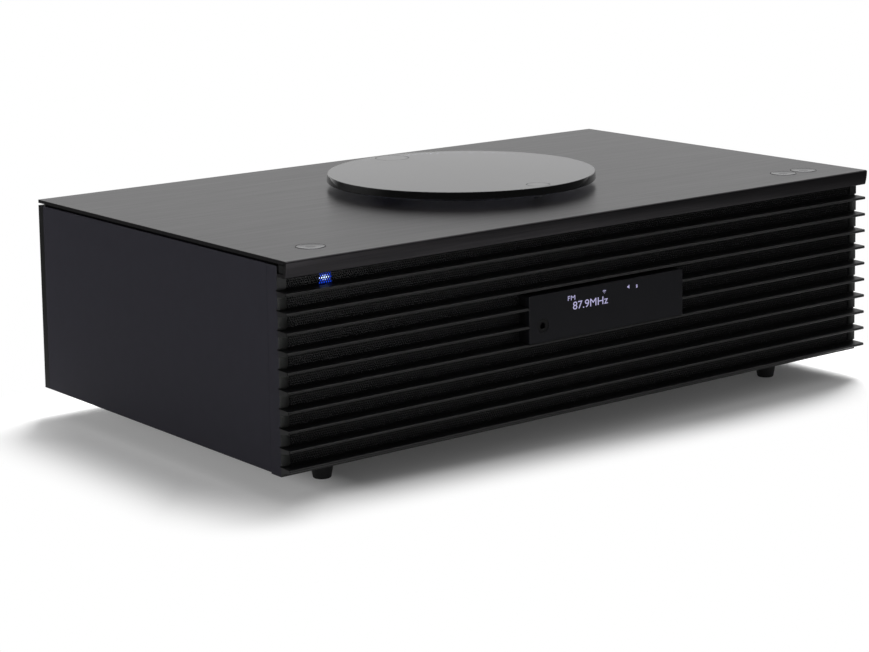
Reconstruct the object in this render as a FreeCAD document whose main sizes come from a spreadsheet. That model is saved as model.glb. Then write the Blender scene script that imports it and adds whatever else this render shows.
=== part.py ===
import FreeCAD, Part
import os
import Sketcher

# All-in-one table music system: louvred front, top-loading disc drive under a swinging
# clear lid, two front woofers with tweeters and a woofer that fires down between the feet.
# Origin: middle of the footprint on the floor. X right, Y to the back, Z up, millimetres.

doc = FreeCAD.newDocument("music_system")
sheet = doc.addObject("Spreadsheet::Sheet", "sizes")
sheet.set("A1", "size")
sheet.set("B1", "millimetres")


class Size:
    """A dimension: its formula over the sheet's cells, and what that comes to now."""

    def __init__(self, text, value):
        self.text = text
        self.value = value

    def __add__(self, other):
        return combined(self, "+", other, self.value + value_of(other))

    def __radd__(self, other):
        return combined(other, "+", self, value_of(other) + self.value)

    def __sub__(self, other):
        return combined(self, "-", other, self.value - value_of(other))

    def __rsub__(self, other):
        return combined(other, "-", self, value_of(other) - self.value)

    def __mul__(self, other):
        return combined(self, "*", other, self.value * value_of(other))

    def __rmul__(self, other):
        return combined(other, "*", self, value_of(other) * self.value)

    def __truediv__(self, other):
        return combined(self, "/", other, self.value / value_of(other))

    def __neg__(self):
        return Size("(-" + self.text + ")", -self.value)


def value_of(item):
    return item.value if isinstance(item, Size) else float(item)


def formula_of(item):
    return item.text if isinstance(item, Size) else repr(float(item))


def combined(left, sign, right, value):
    return Size("(" + formula_of(left) + " " + sign + " " + formula_of(right) + ")", value)


def size(alias, value):
    """A driving dimension: one row of the sheet."""
    size.row += 1
    sheet.set("A%d" % size.row, alias)
    sheet.set("B%d" % size.row, str(value))
    sheet.setAlias("B%d" % size.row, alias)
    return Size("sizes." + alias, float(value))


size.row = 1
zero = Size("0", 0.0)


def bind(target, name, item):
    target.setExpression(name, formula_of(item))


PLANES = {"top": "XY_Plane", "front": "XZ_Plane", "side": "YZ_Plane"}
sub_parts = []


def new_body(label):
    """One sub-part; its label names its file."""
    made = doc.addObject("PartDesign::Body", label)
    made.Label = label
    made.AllowCompound = True
    sub_parts.append(made)
    return made


def origin_piece(body, role):
    return [item for item in body.Origin.OriginFeatures if item.Role == role][0]


def sketch_on(body, view, level):
    """A sketch seen from the top, front or side, at a height, depth or sideways place."""
    sketch = body.newObject("Sketcher::SketchObject", body.Label + "_outline")
    sketch.AttachmentSupport = [(origin_piece(body, PLANES[view]), "")]
    sketch.MapMode = "FlatFace"
    bind(sketch, "AttachmentOffset.Base.z", -level if view == "front" else level)
    return sketch


def hold(sketch, kind, geometry, point, place):
    """Ties one coordinate of a point of the sketch to a size."""
    sketch.addConstraint(Sketcher.Constraint(kind, -1, 1, geometry, point, value_of(place)))
    bind(sketch, "Constraints[%d]" % (sketch.ConstraintCount - 1), place)


def polygon(sketch, corners):
    """A closed outline. A corner may carry the middle of the arc that starts there."""
    first = sketch.GeometryCount
    count = len(corners)
    for index, corner in enumerate(corners):
        after = corners[(index + 1) % count]
        start = FreeCAD.Vector(value_of(corner[0]), value_of(corner[1]), 0)
        end = FreeCAD.Vector(value_of(after[0]), value_of(after[1]), 0)
        if len(corner) == 2:
            sketch.addGeometry(Part.LineSegment(start, end), False)
        else:
            middle = FreeCAD.Vector(value_of(corner[2]), value_of(corner[3]), 0)
            sketch.addGeometry(Part.Arc(start, middle, end), False)
    for index, corner in enumerate(corners):
        after = (index + 1) % count
        leaves = ends_of(sketch, first + index, value_of(corner[0]), value_of(corner[1]))
        arrives = ends_of(sketch, first + after, value_of(corners[after][0]),
                          value_of(corners[after][1]))
        hold(sketch, "DistanceX", first + index, leaves[0], corner[0])
        hold(sketch, "DistanceY", first + index, leaves[0], corner[1])
        sketch.addConstraint(Sketcher.Constraint(
            "Coincident", first + index, leaves[1], first + after, arrives[0]))
    for index, corner in enumerate(corners):
        if len(corner) == 4:
            hold_bulge(sketch, first + index, corner, corners[(index + 1) % count])


def ends_of(sketch, index, across, along):
    """Which end of a piece of outline lies at a place, and which is the other."""
    start = sketch.getPoint(index, 1)
    near = abs(start.x - across) + abs(start.y - along) < 1e-6
    return (1, 2) if near else (2, 1)


def hold_bulge(sketch, index, corner, after):
    """Fixes an arc by the coordinate of its centre that its ends leave free."""
    rise = abs(value_of(after[1]) - value_of(corner[1]))
    run = abs(value_of(after[0]) - value_of(corner[0]))
    reach_x = corner[2] - (corner[0] + after[0]) / 2
    reach_y = corner[3] - (corner[1] + after[1]) / 2
    chord_x = after[0] - corner[0]
    chord_y = after[1] - corner[1]
    half_square = (chord_x * chord_x + chord_y * chord_y) / 4
    reach_square = reach_x * reach_x + reach_y * reach_y
    share = (reach_square - half_square) / (2 * reach_square)
    if rise > run:
        hold(sketch, "DistanceX", index, 3, (corner[0] + after[0]) / 2 + reach_x * share)
    else:
        hold(sketch, "DistanceY", index, 3, (corner[1] + after[1]) / 2 + reach_y * share)


def rectangle(sketch, left, low, right, high):
    polygon(sketch, [(left, low), (right, low), (right, high), (left, high)])


def circle(sketch, across, along, radius):
    middle = FreeCAD.Vector(value_of(across), value_of(along), 0)
    index = sketch.addGeometry(
        Part.Circle(middle, FreeCAD.Vector(0, 0, 1), value_of(radius)), False)
    hold(sketch, "DistanceX", index, 3, across)
    hold(sketch, "DistanceY", index, 3, along)
    sketch.addConstraint(Sketcher.Constraint("Radius", index, value_of(radius)))
    bind(sketch, "Constraints[%d]" % (sketch.ConstraintCount - 1), radius)


def grow(body, sketch, view, depth):
    """Adds the outline's solid, towards +Z, +Y or +X of the body."""
    pad = body.newObject("PartDesign::Pad", body.Label + "_pad")
    pad.Profile = sketch
    bind(pad, "Length", depth)
    pad.Reversed = view == "front"
    return pad


def cut(body, sketch, view, depth):
    """Takes the outline's solid away, towards +Z, +Y or +X of the body."""
    pocket = body.newObject("PartDesign::Pocket", body.Label + "_pocket")
    pocket.Profile = sketch
    bind(pocket, "Length", depth)
    pocket.Reversed = view != "front"
    return pocket


def block(body, left, right, front, back, low, high):
    sketch = sketch_on(body, "top", low)
    rectangle(sketch, left, front, right, back)
    return grow(body, sketch, "top", high - low)


def cut_block(body, left, right, front, back, low, high):
    sketch = sketch_on(body, "top", low)
    rectangle(sketch, left, front, right, back)
    return cut(body, sketch, "top", high - low)


def round_rod(body, view, across, along, radius, start, end):
    sketch = sketch_on(body, view, start)
    circle(sketch, across, along, radius)
    return grow(body, sketch, view, end - start)


def drill(body, view, across, along, radius, start, end):
    sketch = sketch_on(body, view, start)
    circle(sketch, across, along, radius)
    return cut(body, sketch, view, end - start)


def turned(body, corners):
    """A turned piece: corners are (radius, height) about the body's own Z axis."""
    sketch = sketch_on(body, "front", zero)
    polygon(sketch, corners)
    spin = body.newObject("PartDesign::Revolution", body.Label + "_turn")
    spin.Profile = sketch
    spin.ReferenceAxis = (sketch, ["V_Axis"])
    spin.Angle = 360
    return spin


def repeat(body, features, axis, distance, times):
    """Repeats features in a row along an axis of the body."""
    row = body.newObject("PartDesign::LinearPattern", body.Label + "_row")
    row.Originals = features
    row.Direction = (origin_piece(body, axis), [""])
    bind(row, "Length", distance)
    row.Occurrences = times
    body.Tip = row
    return row


def repeat_round(body, features, times):
    """Repeats features evenly about the body's own Z axis."""
    ring = body.newObject("PartDesign::PolarPattern", body.Label + "_ring")
    ring.Originals = features
    ring.Axis = (origin_piece(body, "Z_Axis"), [""])
    ring.Angle = 360
    ring.Occurrences = times
    body.Tip = ring
    return ring


def place(body, across, along, up, turn_axis=(0, 0, 1), turn=0):
    """Puts the body's own origin at a place, turned about an axis."""
    body.Placement = FreeCAD.Placement(
        FreeCAD.Vector(value_of(across), value_of(along), value_of(up)),
        FreeCAD.Rotation(FreeCAD.Vector(*turn_axis), turn))
    bind(body, "Placement.Base.x", across)
    bind(body, "Placement.Base.y", along)
    bind(body, "Placement.Base.z", up)


# Overall sizes, the fits that every piece shares, and how far a cut runs past a face.
cabinet_width = size("cabinet_width", 450)
plate_depth = size("plate_depth", 265)
rear_reach = size("rear_reach", 15)
foot_height = size("foot_height", 17)
side_height = size("side_height", 113.8)
shadow_gap = size("shadow_gap", 1.4)
plate_thickness = size("plate_thickness", 2)
fit_gap = size("fit_gap", 0.2)
running_fit = size("running_fit", 0.05)
moving_gap = size("moving_gap", 0.3)
overcut = size("overcut", 1)

half_width = cabinet_width / 2
front = -(plate_depth + rear_reach) / 2
back = front + plate_depth
side_low = foot_height
side_high = side_low + side_height
plate_low = side_high + shadow_gap
plate_high = plate_low + plate_thickness

# Front grille: one moulding of end posts, rails, ten rounded louvre fins that run the full
# width and the case of the display, which cuts through two of the fins.
frame_reach = size("frame_reach", 9)
frame_depth = size("frame_depth", 9.5)
frame_drop = size("frame_drop", 0.8)
post_width = size("post_width", 6)
rail_height = size("rail_height", 3)
top_rail_height = size("top_rail_height", 4.4)
fin_headroom = size("fin_headroom", 14.71)
fin_inset = size("fin_inset", 0.8)
fin_tip_radius = size("fin_tip_radius", 0.75)
fin_root_height = size("fin_root_height", 3.4)
fin_rise = size("fin_rise", 0.25)
first_fin = size("first_fin", 3.6)
fin_count = 10
fins_below_display = 4
mesh_recess = size("mesh_recess", 0.5)
mesh_sheet = size("mesh_sheet", 0.8)
display_width = size("display_width", 120.7)
display_height = size("display_height", 27.8)
display_shift = size("display_shift", 2.25)
display_rise = size("display_rise", 0.86)
window_thickness = size("window_thickness", 3)
case_wall = size("case_wall", 3)
jack_side_wall = size("jack_side_wall", 15.4)
case_side_wall = size("case_side_wall", 4)

frame_front = front + frame_reach
frame_back = frame_front + frame_depth
frame_low = side_low - frame_drop
open_low = frame_low + rail_height
open_high = side_high - top_rail_height
open_half = half_width - post_width
fin_pitch = (side_height - first_fin - fin_headroom) / (fin_count - 1)
fin_tip = front + fin_inset
mesh_front = frame_front + mesh_recess
mesh_back = mesh_front + mesh_sheet
fin_root = frame_front + mesh_recess / 2
display_left = display_shift - display_width / 2
display_right = display_shift + display_width / 2
display_floor = side_low + first_fin + fin_pitch * fins_below_display + display_rise
display_ceiling = display_floor + display_height
window_back = fin_tip + window_thickness
board_hole_left = display_left + jack_side_wall
board_hole_right = display_right - case_side_wall
board_hole_low = display_floor + case_wall
board_hole_high = display_ceiling - case_wall

front_grille = new_body("front_grille")
frame_outline = sketch_on(front_grille, "front", frame_front)
rectangle(frame_outline, -half_width, frame_low, half_width, side_high)
rectangle(frame_outline, -open_half, open_low, open_half, open_high)
grow(front_grille, frame_outline, "front", frame_depth)
fin_middle = side_low + first_fin
fin_outline = sketch_on(front_grille, "side", -half_width)
polygon(fin_outline, [
    (fin_root, fin_middle + fin_tip_radius + fin_rise),
    (fin_tip + fin_tip_radius, fin_middle + fin_tip_radius, fin_tip, fin_middle),
    (fin_tip + fin_tip_radius, fin_middle - fin_tip_radius),
    (fin_root, fin_middle + fin_tip_radius + fin_rise - fin_root_height)])
fin = grow(front_grille, fin_outline, "side", cabinet_width)
repeat(front_grille, [fin], "Z_Axis", fin_pitch * (fin_count - 1), fin_count)
block(front_grille, display_left, display_right, window_back, fin_root,
      display_floor, display_ceiling)
cut_block(front_grille, display_left, display_right, fin_tip - overcut, window_back,
          display_floor, display_ceiling)
module_hole = sketch_on(front_grille, "front", window_back)
rectangle(module_hole, board_hole_left, board_hole_low, board_hole_right, board_hole_high)
cut(front_grille, module_hole, "front", frame_depth)

# Mesh: one perforated steel sheet that backs the whole louvre, cut out behind the display.
grille_mesh = new_body("grille_mesh")
mesh_outline = sketch_on(grille_mesh, "front", mesh_front)
rectangle(mesh_outline, -open_half + fit_gap, open_low + fit_gap, open_half - fit_gap,
          open_high - fit_gap)
rectangle(mesh_outline, board_hole_left, board_hole_low, board_hole_right, board_hole_high)
grow(grille_mesh, mesh_outline, "front", mesh_sheet)

# Baffle: the board that carries the front drivers, glued into the grille's frame.
baffle_thickness = size("baffle_thickness", 3.7)
woofer_inset = size("woofer_inset", 61)
woofer_up = size("woofer_up", 50)
woofer_hole = size("woofer_hole", 37)
tweeter_place = size("tweeter_place", 114)
tweeter_up = size("tweeter_up", 81)
tweeter_hole = size("tweeter_hole", 12.5)
led_inset = size("led_inset", 32.1)
led_up = size("led_up", 102.2)
led_width = size("led_width", 8)
led_height = size("led_height", 7)

woofer_place = half_width - woofer_inset
led_place = half_width - led_inset
baffle_back = mesh_back + baffle_thickness
woofer_height = side_low + woofer_up
tweeter_height = side_low + tweeter_up
led_height_above = side_low + led_up

front_baffle = new_body("front_baffle")
baffle_outline = sketch_on(front_baffle, "front", mesh_back)
rectangle(baffle_outline, -open_half + fit_gap, open_low + fit_gap, open_half - fit_gap,
          open_high - fit_gap)
rectangle(baffle_outline, board_hole_left, board_hole_low, board_hole_right,
          board_hole_high)
for side in (-1, 1):
    circle(baffle_outline, woofer_place * side, woofer_height, woofer_hole)
    circle(baffle_outline, tweeter_place * side, tweeter_height, tweeter_hole)
rectangle(baffle_outline, -led_place - led_width / 2, led_height_above - led_height / 2,
          -led_place + led_width / 2, led_height_above + led_height / 2)
grow(front_baffle, baffle_outline, "front", baffle_thickness)

# Status lamp: a moulded light block with a blue diode, seen through the mesh.
status_lamp = new_body("status_lamp")
lamp_outline = sketch_on(status_lamp, "front", mesh_back + fit_gap)
rectangle(lamp_outline, -led_place - led_width / 2 + fit_gap,
          led_height_above - led_height / 2 + fit_gap,
          -led_place + led_width / 2 - fit_gap, led_height_above + led_height / 2 - fit_gap)
grow(status_lamp, lamp_outline, "front", baffle_thickness - fit_gap)

# Display: a smoked window on the louvre's face, a glass panel and its board behind it.
jack_place = size("jack_place", 10.4)
jack_up = size("jack_up", 9.5)
jack_radius = size("jack_radius", 4)
jack_bore = size("jack_bore", 1.8)
jack_depth = size("jack_depth", 14)
jack_end = size("jack_end", 1)
panel_start = size("panel_start", 4)
panel_margin = size("panel_margin", 1)
panel_thickness = size("panel_thickness", 2.4)
board_thickness = size("board_thickness", 1.6)

jack_middle = display_left + jack_place
jack_height = display_floor + jack_up

display_window = new_body("display_window")
window_outline = sketch_on(display_window, "front", fin_tip)
rectangle(window_outline, display_left, display_floor, display_right, display_ceiling)
grow(display_window, window_outline, "front", window_thickness)
drill(display_window, "front", jack_middle, jack_height, jack_radius + fit_gap / 2,
      fin_tip - overcut, window_back + overcut)
drill(front_grille, "front", jack_middle, jack_height, jack_radius + fit_gap / 2,
      window_back - overcut, frame_front + overcut)
for sheet_piece in (grille_mesh, front_baffle):
    drill(sheet_piece, "front", jack_middle, jack_height, jack_radius + fit_gap,
          frame_front, baffle_back + overcut)

display_panel = new_body("display_panel")
panel_outline = sketch_on(display_panel, "front", window_back)
rectangle(panel_outline, board_hole_left + panel_start, board_hole_low + panel_margin,
          board_hole_right - panel_margin, board_hole_high - panel_margin)
grow(display_panel, panel_outline, "front", panel_thickness)

display_board = new_body("display_board")
board_outline = sketch_on(display_board, "front", window_back + panel_thickness)
rectangle(board_outline, board_hole_left + fit_gap, board_hole_low + fit_gap,
          board_hole_right - fit_gap, board_hole_high - fit_gap)
grow(display_board, board_outline, "front", board_thickness)

headphone_jack = new_body("headphone_jack")
round_rod(headphone_jack, "front", jack_middle, jack_height, jack_radius, fin_tip,
          fin_tip + jack_depth)
drill(headphone_jack, "front", jack_middle, jack_height, jack_bore, fin_tip - overcut,
      fin_tip + jack_depth - jack_end)

# Side panels: flat aluminium sheets from the grille's frame to the rear cover.
side_thickness = size("side_thickness", 4)
rear_cover_depth = size("rear_cover_depth", 5.3)
rear_inner = back - rear_cover_depth
inner_half = half_width - side_thickness

for name, outer, inner in (("left_side_panel", -half_width, -inner_half),
                           ("right_side_panel", inner_half, half_width)):
    side_panel = new_body(name)
    block(side_panel, outer, inner, frame_back, rear_inner, side_low, side_high)

# Bottom chassis: a folded steel tray with a round opening for the down-firing driver.
chassis_sheet = size("chassis_sheet", 2)
flange_rise = size("flange_rise", 14)
bass_offset = size("bass_offset", 9.5)
disc_inset = size("disc_inset", 133.5)
bass_hole = size("bass_hole", 55)

chassis_half = inner_half - fit_gap
chassis_front = frame_back + fit_gap
chassis_back = rear_inner - fit_gap
chassis_high = side_low + chassis_sheet
disc_shift = front + disc_inset
bass_back = disc_shift - bass_offset

bottom_chassis = new_body("bottom_chassis")
tray_outline = sketch_on(bottom_chassis, "front", chassis_front)
polygon(tray_outline, [
    (-chassis_half, side_low), (chassis_half, side_low),
    (chassis_half, side_low + flange_rise),
    (chassis_half - chassis_sheet, side_low + flange_rise),
    (chassis_half - chassis_sheet, chassis_high), (-chassis_half + chassis_sheet, chassis_high),
    (-chassis_half + chassis_sheet, side_low + flange_rise),
    (-chassis_half, side_low + flange_rise)])
grow(bottom_chassis, tray_outline, "front", chassis_back - chassis_front)
drill(bottom_chassis, "top", zero, bass_back, bass_hole, side_low - overcut,
      chassis_high + overcut)

# Upper deck: a moulded plate that ties the sides and carries the top plate on a raised
# plinth, so that a shadow gap runs round under the plate. It has bosses for the boards.
deck_thickness = size("deck_thickness", 3)
plinth_inset = size("plinth_inset", 3)
well_radius = size("well_radius", 61.5)
well_wall = size("well_wall", 2)
button_radius = size("button_radius", 7.9)
button_inset = size("button_inset", 27.5)
power_inset = size("power_inset", 35)
source_inset = size("source_inset", 48)
button_gap = size("button_gap", 2.7)
stem_radius = size("stem_radius", 3)
switch_board_drop = size("switch_board_drop", 5)
pivot_web = size("pivot_web", 0.7)
collar_radius = size("collar_radius", 7)

deck_low = side_high - deck_thickness
pivot_reach = well_radius + well_wall + pivot_web + collar_radius
pivot_back = disc_shift + pivot_reach
button_back = front + button_inset
power_place = power_inset - half_width
source_place = half_width - source_inset
play_place = source_place + button_radius * 2 + button_gap
button_places = (power_place, source_place, play_place)
switch_board_high = deck_low - switch_board_drop

upper_deck = new_body("upper_deck")
block(upper_deck, -chassis_half, chassis_half, chassis_front, chassis_back, deck_low,
      side_high)
block(upper_deck, -half_width + plinth_inset, half_width - plinth_inset,
      frame_front + plinth_inset, back - plinth_inset, side_high, plate_low)
drill(upper_deck, "top", zero, disc_shift, well_radius + well_wall + fit_gap,
      deck_low - overcut, plate_low + overcut)
drill(upper_deck, "top", zero, pivot_back, collar_radius + moving_gap, deck_low - overcut,
      plate_low + overcut)
for button_place in button_places:
    drill(upper_deck, "top", button_place, button_back, button_radius + moving_gap,
          side_high - overcut, plate_low + overcut)
    drill(upper_deck, "top", button_place, button_back, stem_radius + moving_gap,
          deck_low - overcut, side_high)

# Top plate: brushed black aluminium, bent down at the front in a rolled lip whose edge
# turns back under to the mesh.
lip_height = size("lip_height", 9.4)
lip_lean = size("lip_lean", 1.7)
roll_radius = size("roll_radius", 5)
lip_sheet = size("lip_sheet", 1.5)
well_reveal = size("well_reveal", 0.5)

# The middle of a quarter arc lies this share of its radius off both of its sides.
arc_share = 1 - 0.5 ** 0.5

lip_low = plate_high - lip_height
lip_return = frame_front - moving_gap
inner_roll = roll_radius - plate_thickness

top_plate = new_body("top_plate")
plate_outline = sketch_on(top_plate, "side", -half_width)
polygon(plate_outline, [
    (back, plate_low), (back, plate_high),
    (front + roll_radius, plate_high, front + roll_radius * arc_share,
     plate_high - roll_radius * arc_share),
    (front, plate_high - roll_radius), (front + lip_lean, lip_low), (lip_return, lip_low),
    (lip_return, lip_low + lip_sheet),
    (front + lip_lean + plate_thickness, lip_low + lip_sheet),
    (front + plate_thickness, plate_high - roll_radius,
     front + plate_thickness + inner_roll * arc_share, plate_low - inner_roll * arc_share),
    (front + roll_radius, plate_low)])
grow(top_plate, plate_outline, "side", cabinet_width)
drill(top_plate, "top", zero, disc_shift, well_radius + well_reveal, plate_low - overcut,
      plate_high + overcut)
drill(top_plate, "top", zero, pivot_back, collar_radius + moving_gap, plate_low - overcut,
      plate_high + overcut)
for button_place in button_places:
    drill(top_plate, "top", button_place, button_back, button_radius + moving_gap,
          plate_low - overcut, plate_high + overcut)

# Rear cover: a moulded panel with cut-outs for the sockets, the two ports and vent slots.
socket_height = size("socket_height", 28)
mains_place = size("mains_place", 70)
mains_width = size("mains_width", 24)
mains_height = size("mains_height", 13)
network_place = size("network_place", -35)
network_width = size("network_width", 16)
network_height = size("network_height", 13.5)
data_place = size("data_place", -8)
data_width = size("data_width", 14.5)
data_height = size("data_height", 7.5)
aux_place = size("aux_place", 18)
aerial_place = size("aerial_place", -70)
aerial_radius = size("aerial_radius", 6.5)
port_inset = size("port_inset", 67)
port_up = size("port_up", 76)
port_radius = size("port_radius", 17)
port_wall = size("port_wall", 2)
vent_width = size("vent_width", 2.4)
vent_height = size("vent_height", 20)
vent_pitch = size("vent_pitch", 6)
vent_drop = size("vent_drop", 14)
vent_count = 15

socket_middle = side_low + socket_height
port_place = half_width - port_inset
port_height = side_low + port_up
vent_low = side_high - vent_drop - vent_height

rear_cover = new_body("rear_cover")
cover_outline = sketch_on(rear_cover, "front", rear_inner)
rectangle(cover_outline, -half_width, side_low, half_width, side_high)
grow(rear_cover, cover_outline, "front", rear_cover_depth)
opening_outline = sketch_on(rear_cover, "front", rear_inner - overcut)
for middle, width, height in ((mains_place, mains_width, mains_height),
                              (network_place, network_width, network_height),
                              (data_place, data_width, data_height)):
    rectangle(opening_outline, middle - width / 2 - fit_gap,
              socket_middle - height / 2 - fit_gap, middle + width / 2 + fit_gap,
              socket_middle + height / 2 + fit_gap)
circle(opening_outline, aux_place, socket_middle, jack_radius + fit_gap)
circle(opening_outline, aerial_place, socket_middle, aerial_radius + fit_gap)
for side in (-1, 1):
    circle(opening_outline, port_place * side, port_height, port_radius + fit_gap)
cut(rear_cover, opening_outline, "front", rear_cover_depth + overcut * 2)
vent_outline = sketch_on(rear_cover, "front", rear_inner - overcut)
vent_left = -vent_pitch * (vent_count - 1) / 2
rectangle(vent_outline, vent_left - vent_width / 2, vent_low, vent_left + vent_width / 2,
          vent_low + vent_height)
vent = cut(rear_cover, vent_outline, "front", rear_cover_depth + overcut * 2)
repeat(rear_cover, [vent], "X_Axis", vent_pitch * (vent_count - 1), vent_count)

# Speaker boxes: a closed moulding at each side behind the baffle, open at the front, with
# a port tube from inside the box to the rear cover.
box_wall = size("box_wall", 3.5)
box_inner_edge = size("box_inner_edge", 93)
rear_bay = size("rear_bay", 35.7)
box_drop = size("box_drop", 8.3)
port_inside = size("port_inside", 60)
port_flare = size("port_flare", 3)
port_lip = size("port_lip", 1.5)
neck_lift = size("neck_lift", 1)

box_outer = chassis_half - chassis_sheet - fit_gap
box_back = rear_inner - rear_bay
box_low = chassis_high
box_high = deck_low - box_drop
neck_low = open_low + neck_lift

for name, side in (("left", -1), ("right", 1)):
    speaker_box = new_body(name + "_speaker_box")
    left_edge, right_edge = sorted((box_outer * side, box_inner_edge * side),
                                   key=value_of)
    block(speaker_box, left_edge, right_edge, frame_back + fit_gap, box_back, box_low,
          box_high)
    neck = sketch_on(speaker_box, "front", baffle_back)
    rectangle(neck, left_edge, neck_low, right_edge, box_high)
    grow(speaker_box, neck, "front", frame_back + fit_gap - baffle_back)
    hollow = sketch_on(speaker_box, "front", baffle_back - overcut)
    rectangle(hollow, left_edge + box_wall, neck_low + box_wall, right_edge - box_wall,
              box_high - box_wall)
    cut(speaker_box, hollow, "front", box_back - box_wall - baffle_back + overcut)
    drill(speaker_box, "front", port_place * side, port_height, port_radius + fit_gap,
          box_back - box_wall - overcut, box_back + overcut)

    port_tube = new_body(name + "_port_tube")
    turned(port_tube, [
        (port_radius - port_wall, zero), (port_radius, zero),
        (port_radius, back - box_back + port_inside),
        (port_radius - port_wall + port_lip, back - box_back + port_inside),
        (port_radius - port_wall, back - box_back + port_inside - port_flare)])
    place(port_tube, port_place * side, box_back - port_inside, port_height, (1, 0, 0), -90)

# Front drivers: a pressed basket with its magnet, a paper cone with a rubber surround,
# and a small dome tweeter with a flat lens plate, one set at each side.
basket_rim = size("basket_rim", 4)
basket_depth = size("basket_depth", 34)
basket_sheet = size("basket_sheet", 2)
magnet_radius = size("magnet_radius", 24)
magnet_depth = size("magnet_depth", 14)
cone_neck = size("cone_neck", 11)
cone_depth = size("cone_depth", 15)
basket_edge = size("basket_edge", 1)
basket_foot = size("basket_foot", 4)
window_margin = size("window_margin", 6)
window_half = size("window_half", 7)
cone_gap = size("cone_gap", 1.4)
cone_sheet = size("cone_sheet", 0.8)
cone_bead = size("cone_bead", 1)
surround_width = size("surround_width", 5.6)
surround_back = size("surround_back", 1.5)
surround_rise = size("surround_rise", 0.8)
cap_dome = size("cap_dome", 4)
coil_length = size("coil_length", 9)
tweeter_flange = size("tweeter_flange", 16)
tweeter_depth = size("tweeter_depth", 18)
tweeter_sheet = size("tweeter_sheet", 2)
dome_radius = size("dome_radius", 6.5)
dome_rise = size("dome_rise", 2.4)
dome_shoulder = size("dome_shoulder", 5)
dome_shoulder_rise = size("dome_shoulder_rise", 1.4)

basket_radius = woofer_hole + basket_rim
basket_inner = woofer_hole - basket_edge
basket_back = basket_depth + magnet_depth
cone_rim = woofer_hole - cone_gap
cone_edge = cone_rim - surround_width

for name, side in (("left", -1), ("right", 1)):
    woofer_basket = new_body(name + "_woofer_basket")
    turned(woofer_basket, [
        (basket_inner, zero), (basket_radius, zero), (basket_radius, basket_sheet),
        (basket_inner + basket_sheet, basket_sheet),
        (magnet_radius + basket_edge, basket_depth - basket_sheet),
        (magnet_radius, basket_depth), (magnet_radius, basket_back), (zero, basket_back),
        (zero, basket_depth), (magnet_radius - basket_foot, basket_depth - basket_sheet),
        (basket_inner, basket_sheet)])
    window = sketch_on(woofer_basket, "top", basket_sheet + window_margin)
    rectangle(window, -window_half, magnet_radius + basket_sheet, window_half, basket_radius)
    opened = cut(woofer_basket, window, "top", basket_depth - basket_sheet - window_margin * 2)
    repeat_round(woofer_basket, [opened], 4)
    place(woofer_basket, woofer_place * side, baffle_back, woofer_height, (1, 0, 0), -90)

    woofer_cone = new_body(name + "_woofer_cone")
    turned(woofer_cone, [
        (zero, cone_depth - cap_dome), (cone_neck, cone_depth), (cone_edge, surround_back),
        ((cone_rim + cone_edge) / 2, -surround_rise), (cone_rim, surround_back),
        (cone_edge + cone_sheet, surround_back + cone_bead),
        (cone_neck + cone_sheet, cone_depth + cone_sheet),
        (cone_neck + cone_sheet, cone_depth + coil_length), (zero, cone_depth + coil_length)])
    place(woofer_cone, woofer_place * side, baffle_back, woofer_height, (1, 0, 0), -90)

    tweeter = new_body(name + "_tweeter")
    turned(tweeter, [
        (zero, -dome_rise), (dome_shoulder, -dome_shoulder_rise), (dome_radius, zero),
        (tweeter_flange, zero), (tweeter_flange, tweeter_sheet), (tweeter_hole, tweeter_sheet),
        (tweeter_hole - tweeter_sheet, tweeter_depth), (zero, tweeter_depth)])
    place(tweeter, tweeter_place * side, baffle_back, tweeter_height, (1, 0, 0), -90)

# Bass driver: a 12 cm unit in its own box in the middle, facing the floor through the
# chassis, behind a pressed guard.
bass_rim = size("bass_rim", 6)
bass_depth = size("bass_depth", 38)
bass_magnet = size("bass_magnet", 36)
bass_magnet_depth = size("bass_magnet_depth", 17)
bass_box_half = size("bass_box_half", 90)
bass_box_ahead = size("bass_box_ahead", 9.5)
bass_box_behind = size("bass_box_behind", 8)
bass_box_height = size("bass_box_height", 68)
bass_window_margin = size("bass_window_margin", 7)
bass_window_half = size("bass_window_half", 11)
bass_neck = size("bass_neck", 20)
bass_cone_depth = size("bass_cone_depth", 18)
bass_cone_gap = size("bass_cone_gap", 2.4)
bass_cone_back = size("bass_cone_back", 2)
bass_surround_width = size("bass_surround_width", 9.6)
bass_surround_back = size("bass_surround_back", 1.6)
bass_surround_rise = size("bass_surround_rise", 1.2)
bass_cap_dome = size("bass_cap_dome", 5)
bass_coil_length = size("bass_coil_length", 12)
guard_bar = size("guard_bar", 2)
guard_sheet = size("guard_sheet", 1.5)
guard_lap = size("guard_lap", 3)
guard_inner_ring = size("guard_inner_ring", 14)
guard_outer_ring = size("guard_outer_ring", 33)

bass_flange = bass_hole + bass_rim
bass_box_front = frame_back + bass_box_ahead
bass_box_back = box_back - bass_box_behind
bass_box_low = chassis_high + basket_sheet
bass_box_high = bass_box_low + bass_box_height
bass_back_end = bass_depth + bass_magnet_depth
bass_cone_rim = bass_hole - bass_cone_gap
bass_cone_edge = bass_cone_rim - bass_surround_width

bass_box = new_body("bass_box")
block(bass_box, -bass_box_half, bass_box_half, bass_box_front, bass_box_back, bass_box_low,
      bass_box_high)
cut_block(bass_box, -bass_box_half + box_wall, bass_box_half - box_wall,
          bass_box_front + box_wall, bass_box_back - box_wall, bass_box_low + box_wall,
          bass_box_high - box_wall)
drill(bass_box, "top", zero, bass_back, bass_hole, bass_box_low - overcut,
      bass_box_low + box_wall + overcut)

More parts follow.
